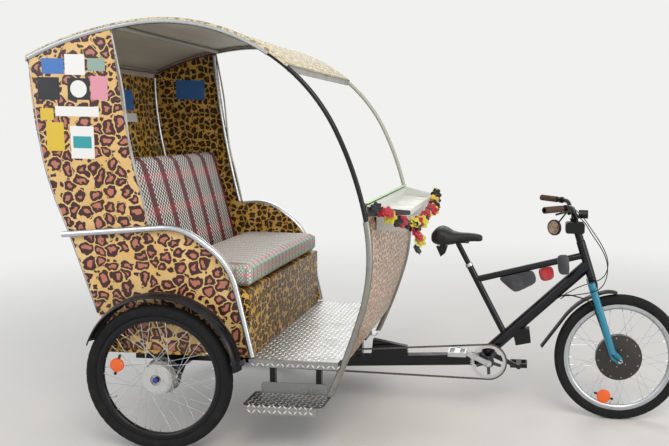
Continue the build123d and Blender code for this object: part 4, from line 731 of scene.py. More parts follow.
# Motor bolts on each side: number, radius of their circle, y of foot and head, radius of a head
BOLTS = [(12, 0.106, 0.0160, 0.0200, 0.0038), (6, 0.046, 0.0215, 0.0262, 0.0034)]
AXLE_END = 0.6352
AXLE_CAP = [(0.0, 0.004), (0.007, 0.0035), (0.011, 0.001), (0.011, 0.0), (0.0, 0.0)]


def nipples(centre, flip, hub_radius, flanges, rim_radius, lead):
    """The nipples at the outer ends of one wheel's spokes, each in line with its spoke."""
    length, slim, wide = NIPPLE
    parts = []
    for side, flange in zip((-1, 1), flanges):
        for number in range(SPOKES_A_SIDE):
            way = 1 if number % 2 else -1
            hub_angle = 2 * math.pi / SPOKES_A_SIDE * (number + (side + 1) / 4)
            rim_angle = hub_angle + math.radians(lead) * way
            start = centre + polar(hub_radius, hub_angle, flip * (flange + SPOKE_SKEW * way))
            end = centre + polar(rim_radius, rim_angle, flip * side * 0.0025)
            run = (end - start).normalized()
            parts.append(rod(end - run * length, end, slim, 6, wide))
    return parts


def make_wheel_details():
    """Nipples and valves, round reflectors on clips, bolts on the motor and caps on the rear axle."""
    for name, body, _, centre, spokes, (x, y, z, size) in WHEELS:
        flip = -1 if name == "left" else 1
        parts = nipples(centre, flip, *spokes)
        for outer, inner, radius in VALVE:
            ends = [centre + polar(spokes[2] + reach, VALVE_ANGLE) for reach in (outer, inner)]
            parts.append(rod(*ends, radius))
        add_mesh(f"nipples_{name}", parts, "front_rim", body, sharp=35)
        middle = centre + Vector((x, flip * y, z))
        lens = lathe([(size * share, rise) for share, rise in REFLECTOR], middle, (0, -flip, 0), 36)
        add_mesh(f"reflector_{name}", [lens], "orange", body, sharp=35)
        across = Vector((z, 0, -x)).normalized() * (size + CLIP_REACH)
        inward = Vector((0, flip * 0.001, 0))
        clip = rod(middle - across + inward, middle + across + inward, CLIP_RADIUS)
        add_mesh(f"reflector_clip_{name}", [clip], "black_plastic", body)
    bolts = []
    for side in (-1, 1):
        for count, reach, low, high, size in BOLTS:
            for i in range(count):
                angle = 2 * math.pi * (i + 0.3) / count
                foot, head = [FRONT_AXLE + polar(reach, angle, side * y) for y in (low, high)]
                bolts.append(rod(foot, head, size, 8, size * 0.8))
    add_mesh("motor_bolts", bolts, "steel", "front_wheel", sharp=35)
    for side, name in ((-1, "right"), (1, "left")):
        cap = lathe(AXLE_CAP, REAR_AXLE + Vector((0, side * AXLE_END, 0)), (0, side, 0), 20)
        add_mesh(f"cap_{name}", [cap], "cap_blue")


# Chain wheels: x, z, teeth
CHAIN_BIG = (0.534, 0.297, 46)
CHAIN_SMALL = (-0.520, 0.262, 22)
CHAIN_Y = -0.060
PITCH = 0.0127
PLATE_HALF = 0.0040
# Inner and outer plates: distance of their faces from the chain's middle
PLATES = [(0.0020, 0.0028), (0.0029, 0.0037)]


def chain_pins():
    """Places of the chain's pins: in the gaps between teeth, and evenly along both runs."""
    dx, dz = CHAIN_SMALL[0] - CHAIN_BIG[0], CHAIN_SMALL[1] - CHAIN_BIG[1]
    big, small = [PITCH / 2 / math.sin(math.pi / part[2]) for part in (CHAIN_BIG, CHAIN_SMALL)]
    base = math.atan2(dz, dx)
    spread = math.acos((big - small) / math.hypot(dx, dz))
    arcs = []
    for (x, z, teeth), radius, first, last in ((CHAIN_BIG, big, base + spread, base - spread + 2 * math.pi),
                                               (CHAIN_SMALL, small, base - spread, base + spread)):
        step = 2 * math.pi / teeth
        numbers = range(math.ceil(first / step - 0.5), math.floor(last / step - 0.5) + 1)
        arcs.append([Vector((x, CHAIN_Y, z)) + polar(radius, (n + 0.5) * step) for n in numbers])
    pins = []
    for arc, following in zip(arcs, arcs[::-1]):
        start, end = arc[-1], following[0]
        count = round((end - start).length / PITCH)
        pins += arc + [start.lerp(end, i / count) for i in range(1, count)]
    return pins


def make_chain():
    """Side plates, rollers and pins of the roller chain."""
    pins = chain_pins()
    parts = []
    for i, (start, end) in enumerate(zip(pins, pins[1:] + pins[:1])):
        run = (end - start).normalized()
        side = Vector((run.z, 0, -run.x))
        outline = []
        for middle, sign in ((start, -PLATE_HALF), (end, PLATE_HALF)):
            for angle in (90, 45, 0, -45, -90):
                turn = math.radians(angle)
                outline.append(middle + (run * math.cos(turn) + side * math.sin(turn)) * sign)
        for flip in (-1, 1):
            verts = [at + Vector((0, flip * y, 0)) for y in PLATES[i % 2] for at in outline]
            parts.append((verts, capped(2, len(outline))))
        for half, radius, sides in ((0.0020, 0.0037, 10), (0.0038, 0.0016, 6)):
            along = Vector((0, half, 0))
            parts.append(rod(start - along, start + along, radius, sides))
    chain = add_mesh("chain_links", parts, "chain_steel", smooth=False)
    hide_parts("chain")


# Cabin details

BAR_PITCH = 0.0235
BAR_HALF = 0.013
BAR_CREST = 0.008
BAR_WIDE = 0.0034
BAR_RISE = 0.0017


def tread_bars(corner, along, across, skip=None):
    """Raised bars in a herringbone over a flat sheet that two edge vectors span from a corner."""
    corner, along, across = Vector(corner), Vector(along), Vector(across)
    run, side = along.normalized(), across.normalized()
    out = run.cross(side)
    rise = out * BAR_RISE
    parts = []
    for i in range(int(along.length / BAR_PITCH)):
        for j in range(int(across.length / BAR_PITCH)):
            at = corner + run * BAR_PITCH * (i + 0.5) + side * BAR_PITCH * (j + 0.5)
            if skip and skip(at.x, at.y):
                continue
            turn = math.radians(45 if (i + j) % 2 else -45)
            bar = run * math.cos(turn) + side * math.sin(turn)
            wide = out.cross(bar) * BAR_WIDE
            verts = [at - bar * BAR_HALF, at + bar * BAR_HALF, at - wide, at + wide,
                     at - bar * BAR_CREST + rise, at + bar * BAR_CREST + rise]
            parts.append((verts, [(0, 2, 4), (2, 1, 5), (2, 5, 4), (3, 0, 4), (1, 3, 5), (3, 4, 5)]))
    return parts


def make_tread():
    """Tread bars on the footboard and its lip, and on the steps and the right step's lip."""
    low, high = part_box("footboard")
    length = high.x - low.x
    parts = tread_bars((low.x + 0.004, low.y + 0.008, high.z), (length - 0.008, 0, 0),
                       (0, high.y - low.y - 0.012, 0), lambda x, y: x > high.x - 0.09 and abs(y) > 0.490)
    lip = min(0.045, high.z - low.z)
    parts += tread_bars((low.x + 0.006, low.y, high.z - lip), (length - 0.012, 0, 0), (0, 0, lip))
    low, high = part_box("steps")
    length = high.x - low.x
    for first in (low.y + 0.015, 0.487):
        parts += tread_bars((low.x + 0.010, first, 0.250), (length - 0.016, 0, 0), (0, 0.148, 0),
                            lambda x, y: abs(y) > 0.63 and (x < low.x + 0.028 or x > high.x - 0.028))
    parts += tread_bars((low.x + 0.022, low.y, low.z + 0.001), (length - 0.044, 0, 0), (0, 0, 0.0475))
    add_mesh("tread_bars", parts, "tread_crest")


# Cards outside the right panel. Columns: colour, x and upper z of one corner, x and lower z of the other
CARDS = [("blue", -1.466, 1.767, -1.363, 1.699), ("white", -1.358, 1.786, -1.266, 1.696),
         ("green", -1.253, 1.770, -1.173, 1.715), ("black", -1.489, 1.684, -1.388, 1.584),
         ("black", -1.350, 1.682, -1.248, 1.587), ("pink", -1.243, 1.692, -1.165, 1.589),
         ("white", -1.413, 1.557, -1.210, 1.513), ("yellow", -1.483, 1.547, -1.421, 1.495),
         ("yellow", -1.459, 1.485, -1.377, 1.357), ("white", -1.347, 1.470, -1.238, 1.325)]
# Cards on the rear panel's inside. Columns: colour, y and z of two corners
REAR_CARDS = [("blue", 0.11, 1.555, 0.28, 1.665), ("white", 0.12, 1.490, 0.30, 1.538)]
# The card inside the left panel and the teal band: x and z of two corners
INSIDE_CARD = (-1.387, 1.628, -1.213, 1.741)
TEAL_BAND = (-1.335, 1.372, -1.250, 1.425)
# The round white field: x, z and radius
WHITE_FIELD = (-1.299, 1.6345, 0.038)
FIELD_SHEET = 0.0007
# Distance of a card's front and back from its panel, and of the front and back of what lies on a card
CARD_FRONT, CARD_BACK = 0.0008, 0.0001
BAND_FRONT, FIELD_BACK = 0.0014, 0.0009
# Corners (x, z) of the bare plate, and the planes (y) of its faces
PLATE_FACES = (-0.5628, -0.5618)
PLATE = [(-0.607, 0.401), (-0.555, 0.434), (-0.548, 0.411), (-0.603, 0.373)]


def wall_card(y0, z0, y1, z1):
    """A thin card on the bench side of the rear panel."""
    corners = []
    for y, z in ((y0, z0), (y1, z0), (y1, z1), (y0, z1)):
        hit, at, _, _ = NODES["rear_panel"].ray_cast(Vector((-1.1, y, z)), Vector((-1, 0, 0)))
        corners.append(at if hit else Vector((-1.5, y, z)))
    return block(at + Vector((lift, 0, 0)) for lift in (0.0015, 0.0030) for at in corners)


def make_cards():
    """Blank cards, one with a round white field and one with a teal band, and a bare plate."""
    outside = -PANEL_Y - PANEL_SHEET / 2
    inside = PANEL_Y - PANEL_SHEET / 2
    groups = {}
    for colour, x0, z0, x1, z1 in CARDS:
        card = brick((x0, outside - CARD_FRONT, z1), (x1, outside - CARD_BACK, z0))
        groups.setdefault(colour, []).append(card)
    x0, z0, x1, z1 = TEAL_BAND
    groups["teal"] = [brick((x0, outside - BAND_FRONT, z0), (x1, outside - CARD_FRONT, z1))]
    x, z, radius = WHITE_FIELD
    outline = [(0.0, FIELD_SHEET), (radius, FIELD_SHEET), (radius, 0.0), (0.0, 0.0)]
    groups["white"].append(lathe(outline, (x, outside - FIELD_BACK, z), (0, -1, 0), 40))
    x0, z0, x1, z1 = INSIDE_CARD
    groups["blue"].append(brick((x0, inside - CARD_FRONT, z0), (x1, inside - CARD_BACK, z1)))
    for colour, *corners in REAR_CARDS:
        groups[colour].append(wall_card(*corners))
    for colour, parts in groups.items():
        add_mesh(f"card_{colour}s", parts, f"card_{colour}", smooth=False)
    plate = block((x, y, z) for y in PLATE_FACES for x, z in PLATE)
    add_mesh("blank_plate", [plate], "steel", smooth=False)


FRONT_EDGE = [(-1.140, 1.893), (-1.098, 1.640), (-1.074, 1.372), (-1.034, 1.190), (-0.998, 1.018)]
REAR_EDGE = [(-1.526, 1.750), (-1.506, 1.530), (-1.481, 1.310), (-1.434, 1.135), (-1.374, 0.970),
             (-1.260, 0.614)]
# The tray's side bands: x, half width and top (z), at the rear and at the front. The first x is measured
# from the tray's rear edge
BAND_ENDS = [(0.002, 0.5157, 1.1425), (0.1745, 0.4010, 1.117)]
BAND_FOOT = 1.0965
BAND_SHEET = 0.0012
# Half widths of the roof's piping and of the tray's edge strip
PIPING_Y = 0.515
TRAY_Y = 0.512


def make_trims():
    """Edge strips of the side panels, red piping inside the roof, and the tray's edge bands."""
    for side, name in ((-1, "right"), (1, "left")):
        y = side * (PANEL_Y + 0.001)
        strips = [pipe(smooth_line([(x, y, z) for x, z in edge]), radius, sides)
                  for edge, radius, sides in ((FRONT_EDGE, 0.0048, 10), (REAR_EDGE, 0.0042, 8))]
        add_mesh(f"edge_strip_{name}", strips, "trim")
    cross = next(at for at, _ in HOOP_LINE if at.x > -1.5)
    roof = [(at.x, PIPING_Y, at.y - 0.009) for at, _ in HOOP_LINE if -1.50 < at.x < -1.15]
    ways = [[(cross.x + 0.012, y, cross.y - 0.011) for y in (-PIPING_Y, PIPING_Y)], roof]
    add_mesh("roof_piping", [pipe(way, 0.004) for way in ways], "piping")
    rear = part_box("dash_tray")[0].x
    crest = max(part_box(node)[1].z for node in ("dash_tray", "dash_panel"))
    top = brick((rear - 0.014, -TRAY_Y, crest - 0.001), (rear + 0.005, TRAY_Y, crest + 0.003))
    add_mesh("tray_edge", [top], "pale_green", smooth=False)
    ends = [(rear + BAND_ENDS[0][0], *BAND_ENDS[0][1:]), BAND_ENDS[1]]
    bands = []
    for side in (-1, 1):
        corners = [(x, side * (half - inset), crest if upper else BAND_FOOT) for x, half, crest in ends
                   for inset, upper in ((0, False), (0, True), (BAND_SHEET, True), (BAND_SHEET, False))]
        bands.append(block(corners))
    add_mesh("tray_band", bands, "card_black", smooth=False)


def blossom(at, face, size, turn):
    """A cloth flower: two rings of cupped petals round a small bud."""
    face = Vector(face).normalized()
    side = face.orthogonal().normalized()
    other = face.cross(side)
    parts = []
    for ring, (count, reach, cup) in enumerate(((6, size, 0.20), (5, size * 0.66, 0.45))):
        for k in range(count):
            angle = turn + 2 * math.pi * (k + 0.5 * ring) / count
            out = side * math.cos(angle) + other * math.sin(angle)
            wide = face.cross(out)
            verts = []
            for share in (0.0, 0.25, 0.5, 0.75, 1.0):
                half = 0.42 * reach * math.sin(math.pi * (0.12 + 0.80 * share)) ** 0.8
                rise = reach * cup * share ** 1.6 + 0.004 * ring
                verts += [at + out * reach * share + wide * half * s + face * (rise + 0.12 * half * abs(s))
                          for s in (-1, 0, 1)]
            parts.append((verts, lattice(5, 3)))
    parts.append(rod(at, at + face * size * 0.34, size * 0.16, 8, size * 0.10))
    return parts


# Ways of the garland: round the front of the tray, and its tail from the near corner
GARLAND = [[(0.030, -0.500, 1.150), (0.060, -0.490, 1.118), (0.100, -0.470, 1.088), (0.140, -0.446, 1.066),
            (0.178, -0.412, 1.056), (0.192, -0.340, 1.050), (0.194, -0.200, 1.046), (0.194, 0.000, 1.052),
            (0.194, 0.200, 1.070), (0.192, 0.330, 1.098), (0.184, 0.396, 1.134)],
           [(0.184, -0.404, 1.052), (0.198, -0.396, 1.010), (0.206, -0.388, 0.960), (0.202, -0.382, 0.915)]]
FLOWER_ORDER = ["black", "red", "red", "yellow", "black", "red", "black", "yellow"]
FLOWER_GAP = 0.026


def make_garland():
    """Cloth flowers in bunches on a string that swags round the front of the tray."""
    chance = random.Random(SEED)
    routes = [route_line(way) for way in GARLAND]
    add_mesh("garland_string", [pipe(route, 0.0016, 6) for route in routes], "flower_green")
    groups = {"black": [], "red": [], "yellow": []}
    count = 0
    for route in routes:
        gone = 0.02
        for a, b in zip(route, route[1:]):
            gone += (b - a).length
            if gone < FLOWER_GAP:
                continue
            gone = 0.0
            outward = Vector((0.9, -0.8, 0.4)) if b.y > -0.40 else Vector((0.3, -1.0, 0.3))
            tilt = Vector([chance.uniform(-0.5, 0.5) for _ in range(3)])
            size = chance.uniform(0.026, 0.037)
            shift = Vector([chance.uniform(-0.010, 0.010) for _ in range(3)])
            at = b + shift + outward.normalized() * 0.010
            flower = blossom(at, outward + tilt, size, chance.uniform(0, 6))
            groups[FLOWER_ORDER[count % len(FLOWER_ORDER)]] += flower
            count += 1
    for colour, parts in groups.items():
        flowers = add_mesh("garland_" + colour, parts, "flower_" + colour)
        flowers.modifiers.new("thickness", "SOLIDIFY").thickness = 0.0006


# Cycle details

# The main tube at the head tube: its upper end on its axis, direction and radius
TUBE_END = Vector((1.010, 0, 0.797))
TUBE_RUN = Vector((0.510, 0, 0.488)).normalized()
TUBE_RADIUS = 0.0309


def make_head_joint():
    """The main tube's upper end, cut aslant, which runs up to the head tube's front."""
    up = Vector((-TUBE_RUN.z, 0, TUBE_RUN.x))
    verts = []
    for share in (0.0, 1.0):
        for rise, across in circle(40):
            reach = (0.033 + 0.022 * rise) * share - 0.004
            verts.append(TUBE_END + (up * rise + Vector((0, across, 0))) * TUBE_RADIUS + TUBE_RUN * reach)
    add_mesh("main_tube_end", [(verts, capped(2, 40))], "black_frame", sharp=35)


STEM = Vector((0.9539, 0, 1.0619))
LAMP_FRONT = STEM + Vector((0.0653, 0, 0.013))
BELL_FOOT = STEM + Vector((-0.015, -0.120, 0.0315))
BAR_SLOPE = Vector((0.030, 0.100, -0.063)).normalized()
MIRROR_FACE = Vector((-0.64, -0.77, 0)).normalized()
MIRROR_FRONT = STEM + Vector((-0.109, -0.200, -0.031)) + MIRROR_FACE * 0.0055
# Outlines (radius, along) of the turned pieces on the handlebar
LAMP_GLASS = [(0.0, 0.005), (0.010, 0.0042), (0.018, 0.001), (0.0185, 0.0), (0.0, 0.0)]
BELL_DOME = [(0.0235, 0.017), (0.0252, 0.0175), (0.0252, 0.028), (0.0232, 0.035), (0.0185, 0.0405),
             (0.010, 0.0440), (0.0, 0.0452)]
MIRROR_RIM = [(0.0, 0.0), (0.030, 0.0), (0.033, 0.0035), (0.0375, 0.0035), (0.0385, 0.001),
              (0.0385, -0.009), (0.036, -0.0115), (0.0, -0.0115)]
MIRROR_GLASS = [(0.0, 0.0026), (0.0325, 0.0026), (0.0325, 0.0), (0.0, 0.0)]


def make_bar_details():
    """Headlamp glass, a domed bell, and the mirror's rim and glass."""
    glass = lathe(LAMP_GLASS, LAMP_FRONT, (1, 0, 0))
    add_mesh("lamp_glass", [glass], "lens", "steering", sharp=35)
    up = Vector((-1, 0, 1))
    up = (up - BAR_SLOPE * up.dot(BAR_SLOPE)).normalized()
    dome = lathe(BELL_DOME, BELL_FOOT, up, 32)
    add_mesh("bell_dome", [dome], "steel", "steering", sharp=50)
    rim = lathe(MIRROR_RIM, MIRROR_FRONT, MIRROR_FACE, 36)
    add_mesh("mirror_rim", [rim], "black_plastic", "steering", sharp=35)
    glass = lathe(MIRROR_GLASS, MIRROR_FRONT, MIRROR_FACE, 36)
    add_mesh("mirror_glass", [glass], "mirror", "steering", smooth=False)


# Points x, y, z of each brake cable's way from the handlebar to the main tube
CABLE_ROUTES = [
    [(0.922, -0.196, 1.112), (0.990, -0.110, 1.060), (1.035, -0.080, 0.985), (1.095, -0.060, 0.905),
     (1.126, -0.055, 0.830), (1.122, -0.066, 0.760), (1.095, -0.084, 0.712), (1.045, -0.092, 0.690),
     (0.985, -0.075, 0.675), (0.932, -0.034, 0.655), (0.918, -0.007, 0.652), (0.896, -0.007, 0.631)],
    [(0.922, 0.196, 1.112), (0.995, 0.110, 1.062), (1.050, 0.075, 0.985), (1.108, 0.050, 0.905),
     (1.139, 0.045, 0.830), (1.137, 0.052, 0.775), (1.115, 0.080, 0.725), (1.060, 0.092, 0.700),
     (0.995, 0.074, 0.682), (0.942, 0.034, 0.659), (0.929, 0.008, 0.662), (0.907, 0.008, 0.641)],
]
# The same for the motor's lead, from the main tube to the front axle
LEAD_ROUTE = [(0.884, -0.027, 0.642), (0.909, -0.027, 0.666), (0.998, -0.050, 0.653),
              (1.052, -0.064, 0.634), (1.085, -0.065, 0.550), (1.150, -0.066, 0.392),
              (1.172, -0.084, 0.350), (1.212, -0.084, 0.333)]
CABLE_RADIUS = 0.0025
LEAD_RADIUS = 0.0035


def make_cables():
    """Two brake cables and the motor's lead."""
    parts = [pipe(route_line(route), CABLE_RADIUS) for route in CABLE_ROUTES]
    parts.append(pipe(route_line(LEAD_ROUTE), LEAD_RADIUS))
    cables = add_mesh("cable_run", parts, "black_plastic", None)
    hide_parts("cables")
    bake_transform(cables)


# Soft goods

SIM_FRAMES = 15


def padded_piece(obj, node):
    """What a padded piece rides on and stands for."""
    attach(obj, "chassis")
    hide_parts(node)


def puffed(obj, voxel, pressure, cap):
    """Blows up a closed form a little with cloth, then holds each point within cap of where it began."""
    bpy.context.view_layer.objects.active = obj
    remesh = obj.modifiers.new("remesh", "REMESH")
    remesh.mode = "VOXEL"
    remesh.voxel_size = voxel
    bpy.ops.object.modifier_apply(modifier=remesh.name)
    rest = [v.co.copy() for v in obj.data.vertices]
    scene = bpy.context.scene
    soft = obj.modifiers.new("cloth", "CLOTH")
    soft.settings.quality = 4
    soft.settings.use_pressure = True
    soft.settings.uniform_pressure_force = pressure
    soft.settings.effector_weights.gravity = 0
    soft.settings.tension_stiffness = 30
    for step in range(1, SIM_FRAMES + 1):
        scene.frame_set(step)
    bpy.ops.object.modifier_apply(modifier=soft.name)
    scene.frame_set(1)
    for vertex, start in zip(obj.data.vertices, rest):
        move = vertex.co - start
        if move.length > cap:
            vertex.co = start + move.normalized() * cap
    obj.data.polygons.foreach_set("use_smooth", [True] * len(obj.data.polygons))


def cushion_form(size, rows, columns, crown, sink, corner):
    """A pillow block: points of a rounded box whose faces crown and whose sides pull in between corners.
    Local axes: x depth, y width, z thickness, centred."""
    depth, width, thick = size
    verts, faces = [], []
    for side in (1, -1):
        for i in range(rows):
            for j in range(columns):
                u, v = 2 * i / (rows - 1) - 1, 2 * j / (columns - 1) - 1
                edge = (1 - abs(u) ** 8) * (1 - abs(v) ** 14)
                x = u * (depth / 2) * (1 - sink * (1 - v * v))
                y = v * (width / 2) * (1 - sink * 0.3 * (1 - u * u))
                z = side * (thick / 2) * (corner + (1 - corner) * max(0.0, edge) ** 0.35)
                z += side * crown * (1 - u * u) * (1 - v ** 4)
                verts.append(Vector((x, y, z)))
        base = 0 if side == 1 else rows * columns
        faces += [tuple(base + k for k in face[::side]) for face in lattice(rows, columns)]
    rim = [i * columns for i in range(rows)] + [(rows - 1) * columns + j for j in range(1, columns)]
    rim += [i * columns + columns - 1 for i in range(rows - 2, -1, -1)] + list(range(columns - 2, 0, -1))
    lower = rows * columns
    faces += [(a, b, lower + b, lower + a) for a, b in zip(rim, rim[1:] + rim[:1])]
    return verts, faces


def make_seat():
    """The bench cushion in woven plastic."""
    low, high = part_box("seat_cushion")
    size = (high.x - low.x - 0.012, high.y - low.y - 0.012, high.z - low.z - 0.020)
    centre = (low + high) / 2
    verts, faces = cushion_form(size, 26, 50, crown=0.006, sink=0.02, corner=0.72)
    seat = add_mesh("bench_cushion", [([v + centre for v in verts], faces)], "seat_cloth", body=None)
    puffed(seat, voxel=0.009, pressure=3.0, cap=0.010)
    for vertex in seat.data.vertices:
        vertex.co.x = min(max(vertex.co.x, low.x + 0.001), high.x)
        vertex.co.z = min(max(vertex.co.z, low.z), high.z + 0.004)
    padded_piece(seat, "seat_cushion")


BACK_FOOT = Vector((-0.992, 0, 0.745))
BACK_RUN = Vector((-1.140 + 0.992, 0, 1.350 - 0.745))
BACK_THICK = 0.088


def make_back():
    """The backrest cushion, leaning with the rear panel."""
    low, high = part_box("back_cushion")
    up = BACK_RUN.normalized()
    ahead = Vector((up.z, 0, -up.x))
    size = (BACK_RUN.length - 0.016, high.y - low.y - 0.014, BACK_THICK - 0.016)
    verts, faces = cushion_form(size, 34, 50, crown=0.008, sink=0.015, corner=0.62)
    centre = BACK_FOOT + BACK_RUN / 2 - ahead * (BACK_THICK / 2 + 0.003)
    leaning = [centre + up * v.x + Vector((0, v.y, 0)) + ahead * v.z for v in verts]
    back = add_mesh("back_cushion_cover", [(leaning, faces)], "back_cloth", body=None)
    puffed(back, voxel=0.009, pressure=3.0, cap=0.010)
    for vertex in back.data.vertices:
        vertex.co.z = max(vertex.co.z, low.z)
    padded_piece(back, "back_cushion")


CROSS_TUBE_X = (-1.500, -1.130, -0.440)
CANOPY_COLUMNS = 44
CANOPY_SAG = 0.006
HEM_ANGLES = (40, 80)


def make_canopy():
    """The roof cloth, pulled over both hoops and the cross tubes, with hems that turn under."""
    low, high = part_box("canopy")
    reach = ROOF_TUBE / 2 + 0.0015
    line = [(at, out) for at, out in HOOP_LINE if at.x <= high.x - 0.001 and at.y > 1.7]
    half = PANEL_Y
    rows = [(Vector((low.x + 0.002, line[0][0].y - drop)), Vector((-1, 0)), 0.0) for drop in (0.018, 0.006)]
    for at, out in line:
        near = min(abs(at.x - x) for x in CROSS_TUBE_X)
        rows.append((at + out * reach, out, CANOPY_SAG * min(1.0, near / 0.25)))
    verts = []
    for at, out, sag in rows:
        for j in range(CANOPY_COLUMNS + 1):
            share = 2 * j / CANOPY_COLUMNS - 1
            sunk = at - out * sag * (1 - share ** 4)
            verts.append(Vector((sunk.x, share * half, sunk.y)))
        for side in (-1, 1):
            for angle in HEM_ANGLES:
                turn = math.radians(angle)
                edge = at - out * reach * (1 - math.cos(turn))
                verts.append(Vector((edge.x, side * (half + reach * math.sin(turn)), edge.y)))
    last = CANOPY_COLUMNS
    order = [last + 2, last + 1, *range(last + 1), last + 3, last + 4]
    faces = [(i + a, i + b, i + last + 5 + b, i + last + 5 + a)
             for i in range(0, (len(rows) - 1) * (last + 5), last + 5) for a, b in zip(order, order[1:])]
    roof = add_mesh("roof_sheet", [(verts, faces)], "canopy")
    solid = roof.modifiers.new("thickness", "SOLIDIFY")
    solid.thickness = 0.002
    solid.offset = 0
    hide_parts("canopy")


# Saddle's side view: columns are share of the length, top and underside (z)
SADDLE_FORM = [(0.00, 0.950, 0.920), (0.05, 0.972, 0.906), (0.12, 0.988, 0.898), (0.22, 0.995, 0.896),
               (0.32, 0.985, 0.896), (0.42, 0.969, 0.900), (0.55, 0.963, 0.908), (0.70, 0.962, 0.916),
               (0.84, 0.959, 0.918), (0.94, 0.954, 0.918), (0.98, 0.949, 0.921), (1.00, 0.942, 0.926)]
# Half width at shares of the length
SADDLE_PLAN = [(0.00, 0.030), (0.04, 0.062), (0.10, 0.077), (0.18, 0.0815), (0.30, 0.078), (0.42, 0.060),
               (0.52, 0.040), (0.62, 0.031), (0.80, 0.025), (0.94, 0.023), (0.98, 0.018), (1.00, 0.010)]
SADDLE_ROWS = 46
SADDLE_SIDES = 32


def along_table(table, share):
    """A table's values at a share, on straight lines between its rows."""
    for a, b in zip(table, table[1:]):
        if share <= b[0]:
            t = (share - a[0]) / (b[0] - a[0])
            return [p + (q - p) * t for p, q in zip(a[1:], b[1:])]
    return list(table[-1][1:])


def make_saddle():
    """A padded saddle: bulbous swept rear, dip, narrow nose, and a shallow groove along its top."""
    low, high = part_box("saddle")
    length = high.x - low.x - 0.006
    verts = []
    for i in range(SADDLE_ROWS):
        t = i / (SADDLE_ROWS - 1)
        top, under = along_table(SADDLE_FORM, t)
        half, = along_table(SADDLE_PLAN, t)
        middle = under + (top - under) * 0.52
        for c, s in circle(SADDLE_SIDES):
            y = half * math.copysign(abs(c) ** 0.66, c)
            z = middle + (top - middle if s > 0 else middle - under) * math.copysign(abs(s) ** 0.80, s)
            if s > 0:
                z -= 0.007 * math.exp(-(y / 0.011) ** 2) * max(0.0, 1 - t * 1.3)
            verts.append(Vector((low.x + 0.003 + t * length, y, z)))
    saddle = add_mesh("saddle_cover", [(verts, capped(SADDLE_ROWS, SADDLE_SIDES))], "saddle_skin", body=None)
    saddle.modifiers.new("relax", "SMOOTH").iterations = 3
    smooth = saddle.modifiers.new("smooth", "SUBSURF")
    smooth.levels = smooth.render_levels = 1
    padded_piece(saddle, "saddle")


# The red bag's room among the grey ones: front end (x), half width (y), lowest and highest point (z)
RED_BAG = (0.872, 0.033, 0.69, 0.84)
# Its slanted rear end: x and z of a point on it, and how far it goes forward for each metre down
RED_BAG_REAR = (0.759, 0.779, 0.375)


def make_bags():
    """The bags under the top tube, blown up a little from their CAD blocks; the middle one is red."""
    bm = bmesh.new()
    bm.from_mesh(NODES["frame_bags"].data)
    bmesh.ops.remove_doubles(bm, verts=bm.verts, dist=0.00005)
    mesh = bpy.data.meshes.new("bags")
    bm.to_mesh(mesh)
    bm.free()
    bags = placed("bags", mesh)
    puffed(bags, voxel=0.0045, pressure=2.5, cap=0.006)
    bags.modifiers.new("slump", "SMOOTH").iterations = 150
    mesh = bags.data
    mesh.materials.clear()
    for finish in ("bag_cloth", "red_cloth"):
        mesh.materials.append(PAINTS[finish].material)
    front, half, foot, head = RED_BAG
    rear_x, rear_z, slope = RED_BAG_REAR
    for face in mesh.polygons:
        x, y, z = face.center
        if rear_x + slope * (rear_z - z) < x < front and abs(y) < half and foot < z < head:
            face.material_index = 1
    padded_piece(bags, "frame_bags")


# Floor and light

FLOOR_REACH = 60.0
BACKDROP = (0.88, 0.88, 0.87, 1)
SKY_COLOUR = "#eef0f3"
SKY_LEVEL = 0.62
# Columns: name, place, size, power, colour
LAMPS = [("key", (1.6, -4.2, 4.6), 3.2, 150.0, "#fff6ea"),
         ("fill", (-4.2, -3.0, 3.0), 3.0, 60.0, "#eef4ff"),
         ("back", (-1.0, 4.6, 4.2), 3.4, 90.0, "#ffffff"),
         ("front", (4.2, -2.2, 1.7), 2.6, 60.0, "#fbfaf6")]
LAMP_AIM = Vector((0, 0, 0.8))


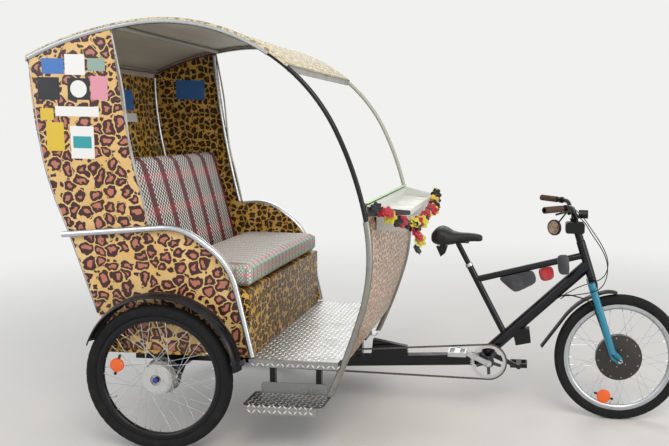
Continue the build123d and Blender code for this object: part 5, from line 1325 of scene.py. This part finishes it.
def make_floor():
    """A pale floor that runs to the horizon, where it takes the backdrop's colour."""
    mesh = bpy.data.meshes.new("floor")
    corners = [(x * FLOOR_REACH, y * FLOOR_REACH, 0) for x, y in ((-1, -1), (1, -1), (1, 1), (-1, 1))]
    mesh.from_pydata(corners, [], [(0, 1, 2, 3)])
    paint = Paint("floor", "#d9d8d5", 0.85)
    paint.set(Base_Color=paint.mix(paint.noise(0.6, 3), "#d6d5d2", "#dcdbd8"))
    x, y, _ = paint.parts()
    far = paint.times(paint.step(paint.distance(x, y), 1.9, 6.0), paint.seen())
    glow = paint.make("Emission", {"Color": BACKDROP, "Strength": 1.0})
    both = paint.make("MixShader", {0: far, 1: paint.shader.outputs[0], 2: glow.outputs[0]})
    paint.feed(paint.tree.nodes["Material Output"].inputs["Surface"], both.outputs[0])
    mesh.materials.append(paint.material)
    placed("floor", mesh)


def make_sky():
    """A pale sky: the backdrop where it is seen, softer where it lights the object."""
    world = bpy.data.worlds.new("sky")
    world.use_nodes = True
    bpy.context.scene.world = world
    sky = Nodes(world.node_tree)
    seen = sky.seen()
    inputs = sky.tree.nodes["Background"].inputs
    sky.feed(inputs["Strength"], sky.between(seen, SKY_LEVEL, 1.0))
    sky.feed(inputs["Color"], sky.mix(seen, SKY_COLOUR, BACKDROP))


def make_lamps():
    """Soft lamps round the object."""
    for name, at, size, power, colour in LAMPS:
        lamp = bpy.data.lights.new(name, "AREA")
        lamp.shape = "DISK"
        lamp.size = size
        lamp.energy = power
        lamp.color = tint(colour)
        turn = (LAMP_AIM - Vector(at)).to_track_quat("-Z", "Y").to_matrix().to_4x4()
        placed(name, lamp).matrix_world = Matrix.Translation(at) @ turn


make_camera()
make_floor()
make_sky()
make_lamps()
paint_frame()
make_tyres()
make_wheel_details()
make_chain()
make_tread()
make_cards()
make_trims()
make_garland()
make_head_joint()
make_bar_details()
make_cables()
make_canopy()
make_seat()
make_back()
make_saddle()
make_bags()

bpy.context.scene.view_settings.view_transform = "Standard"
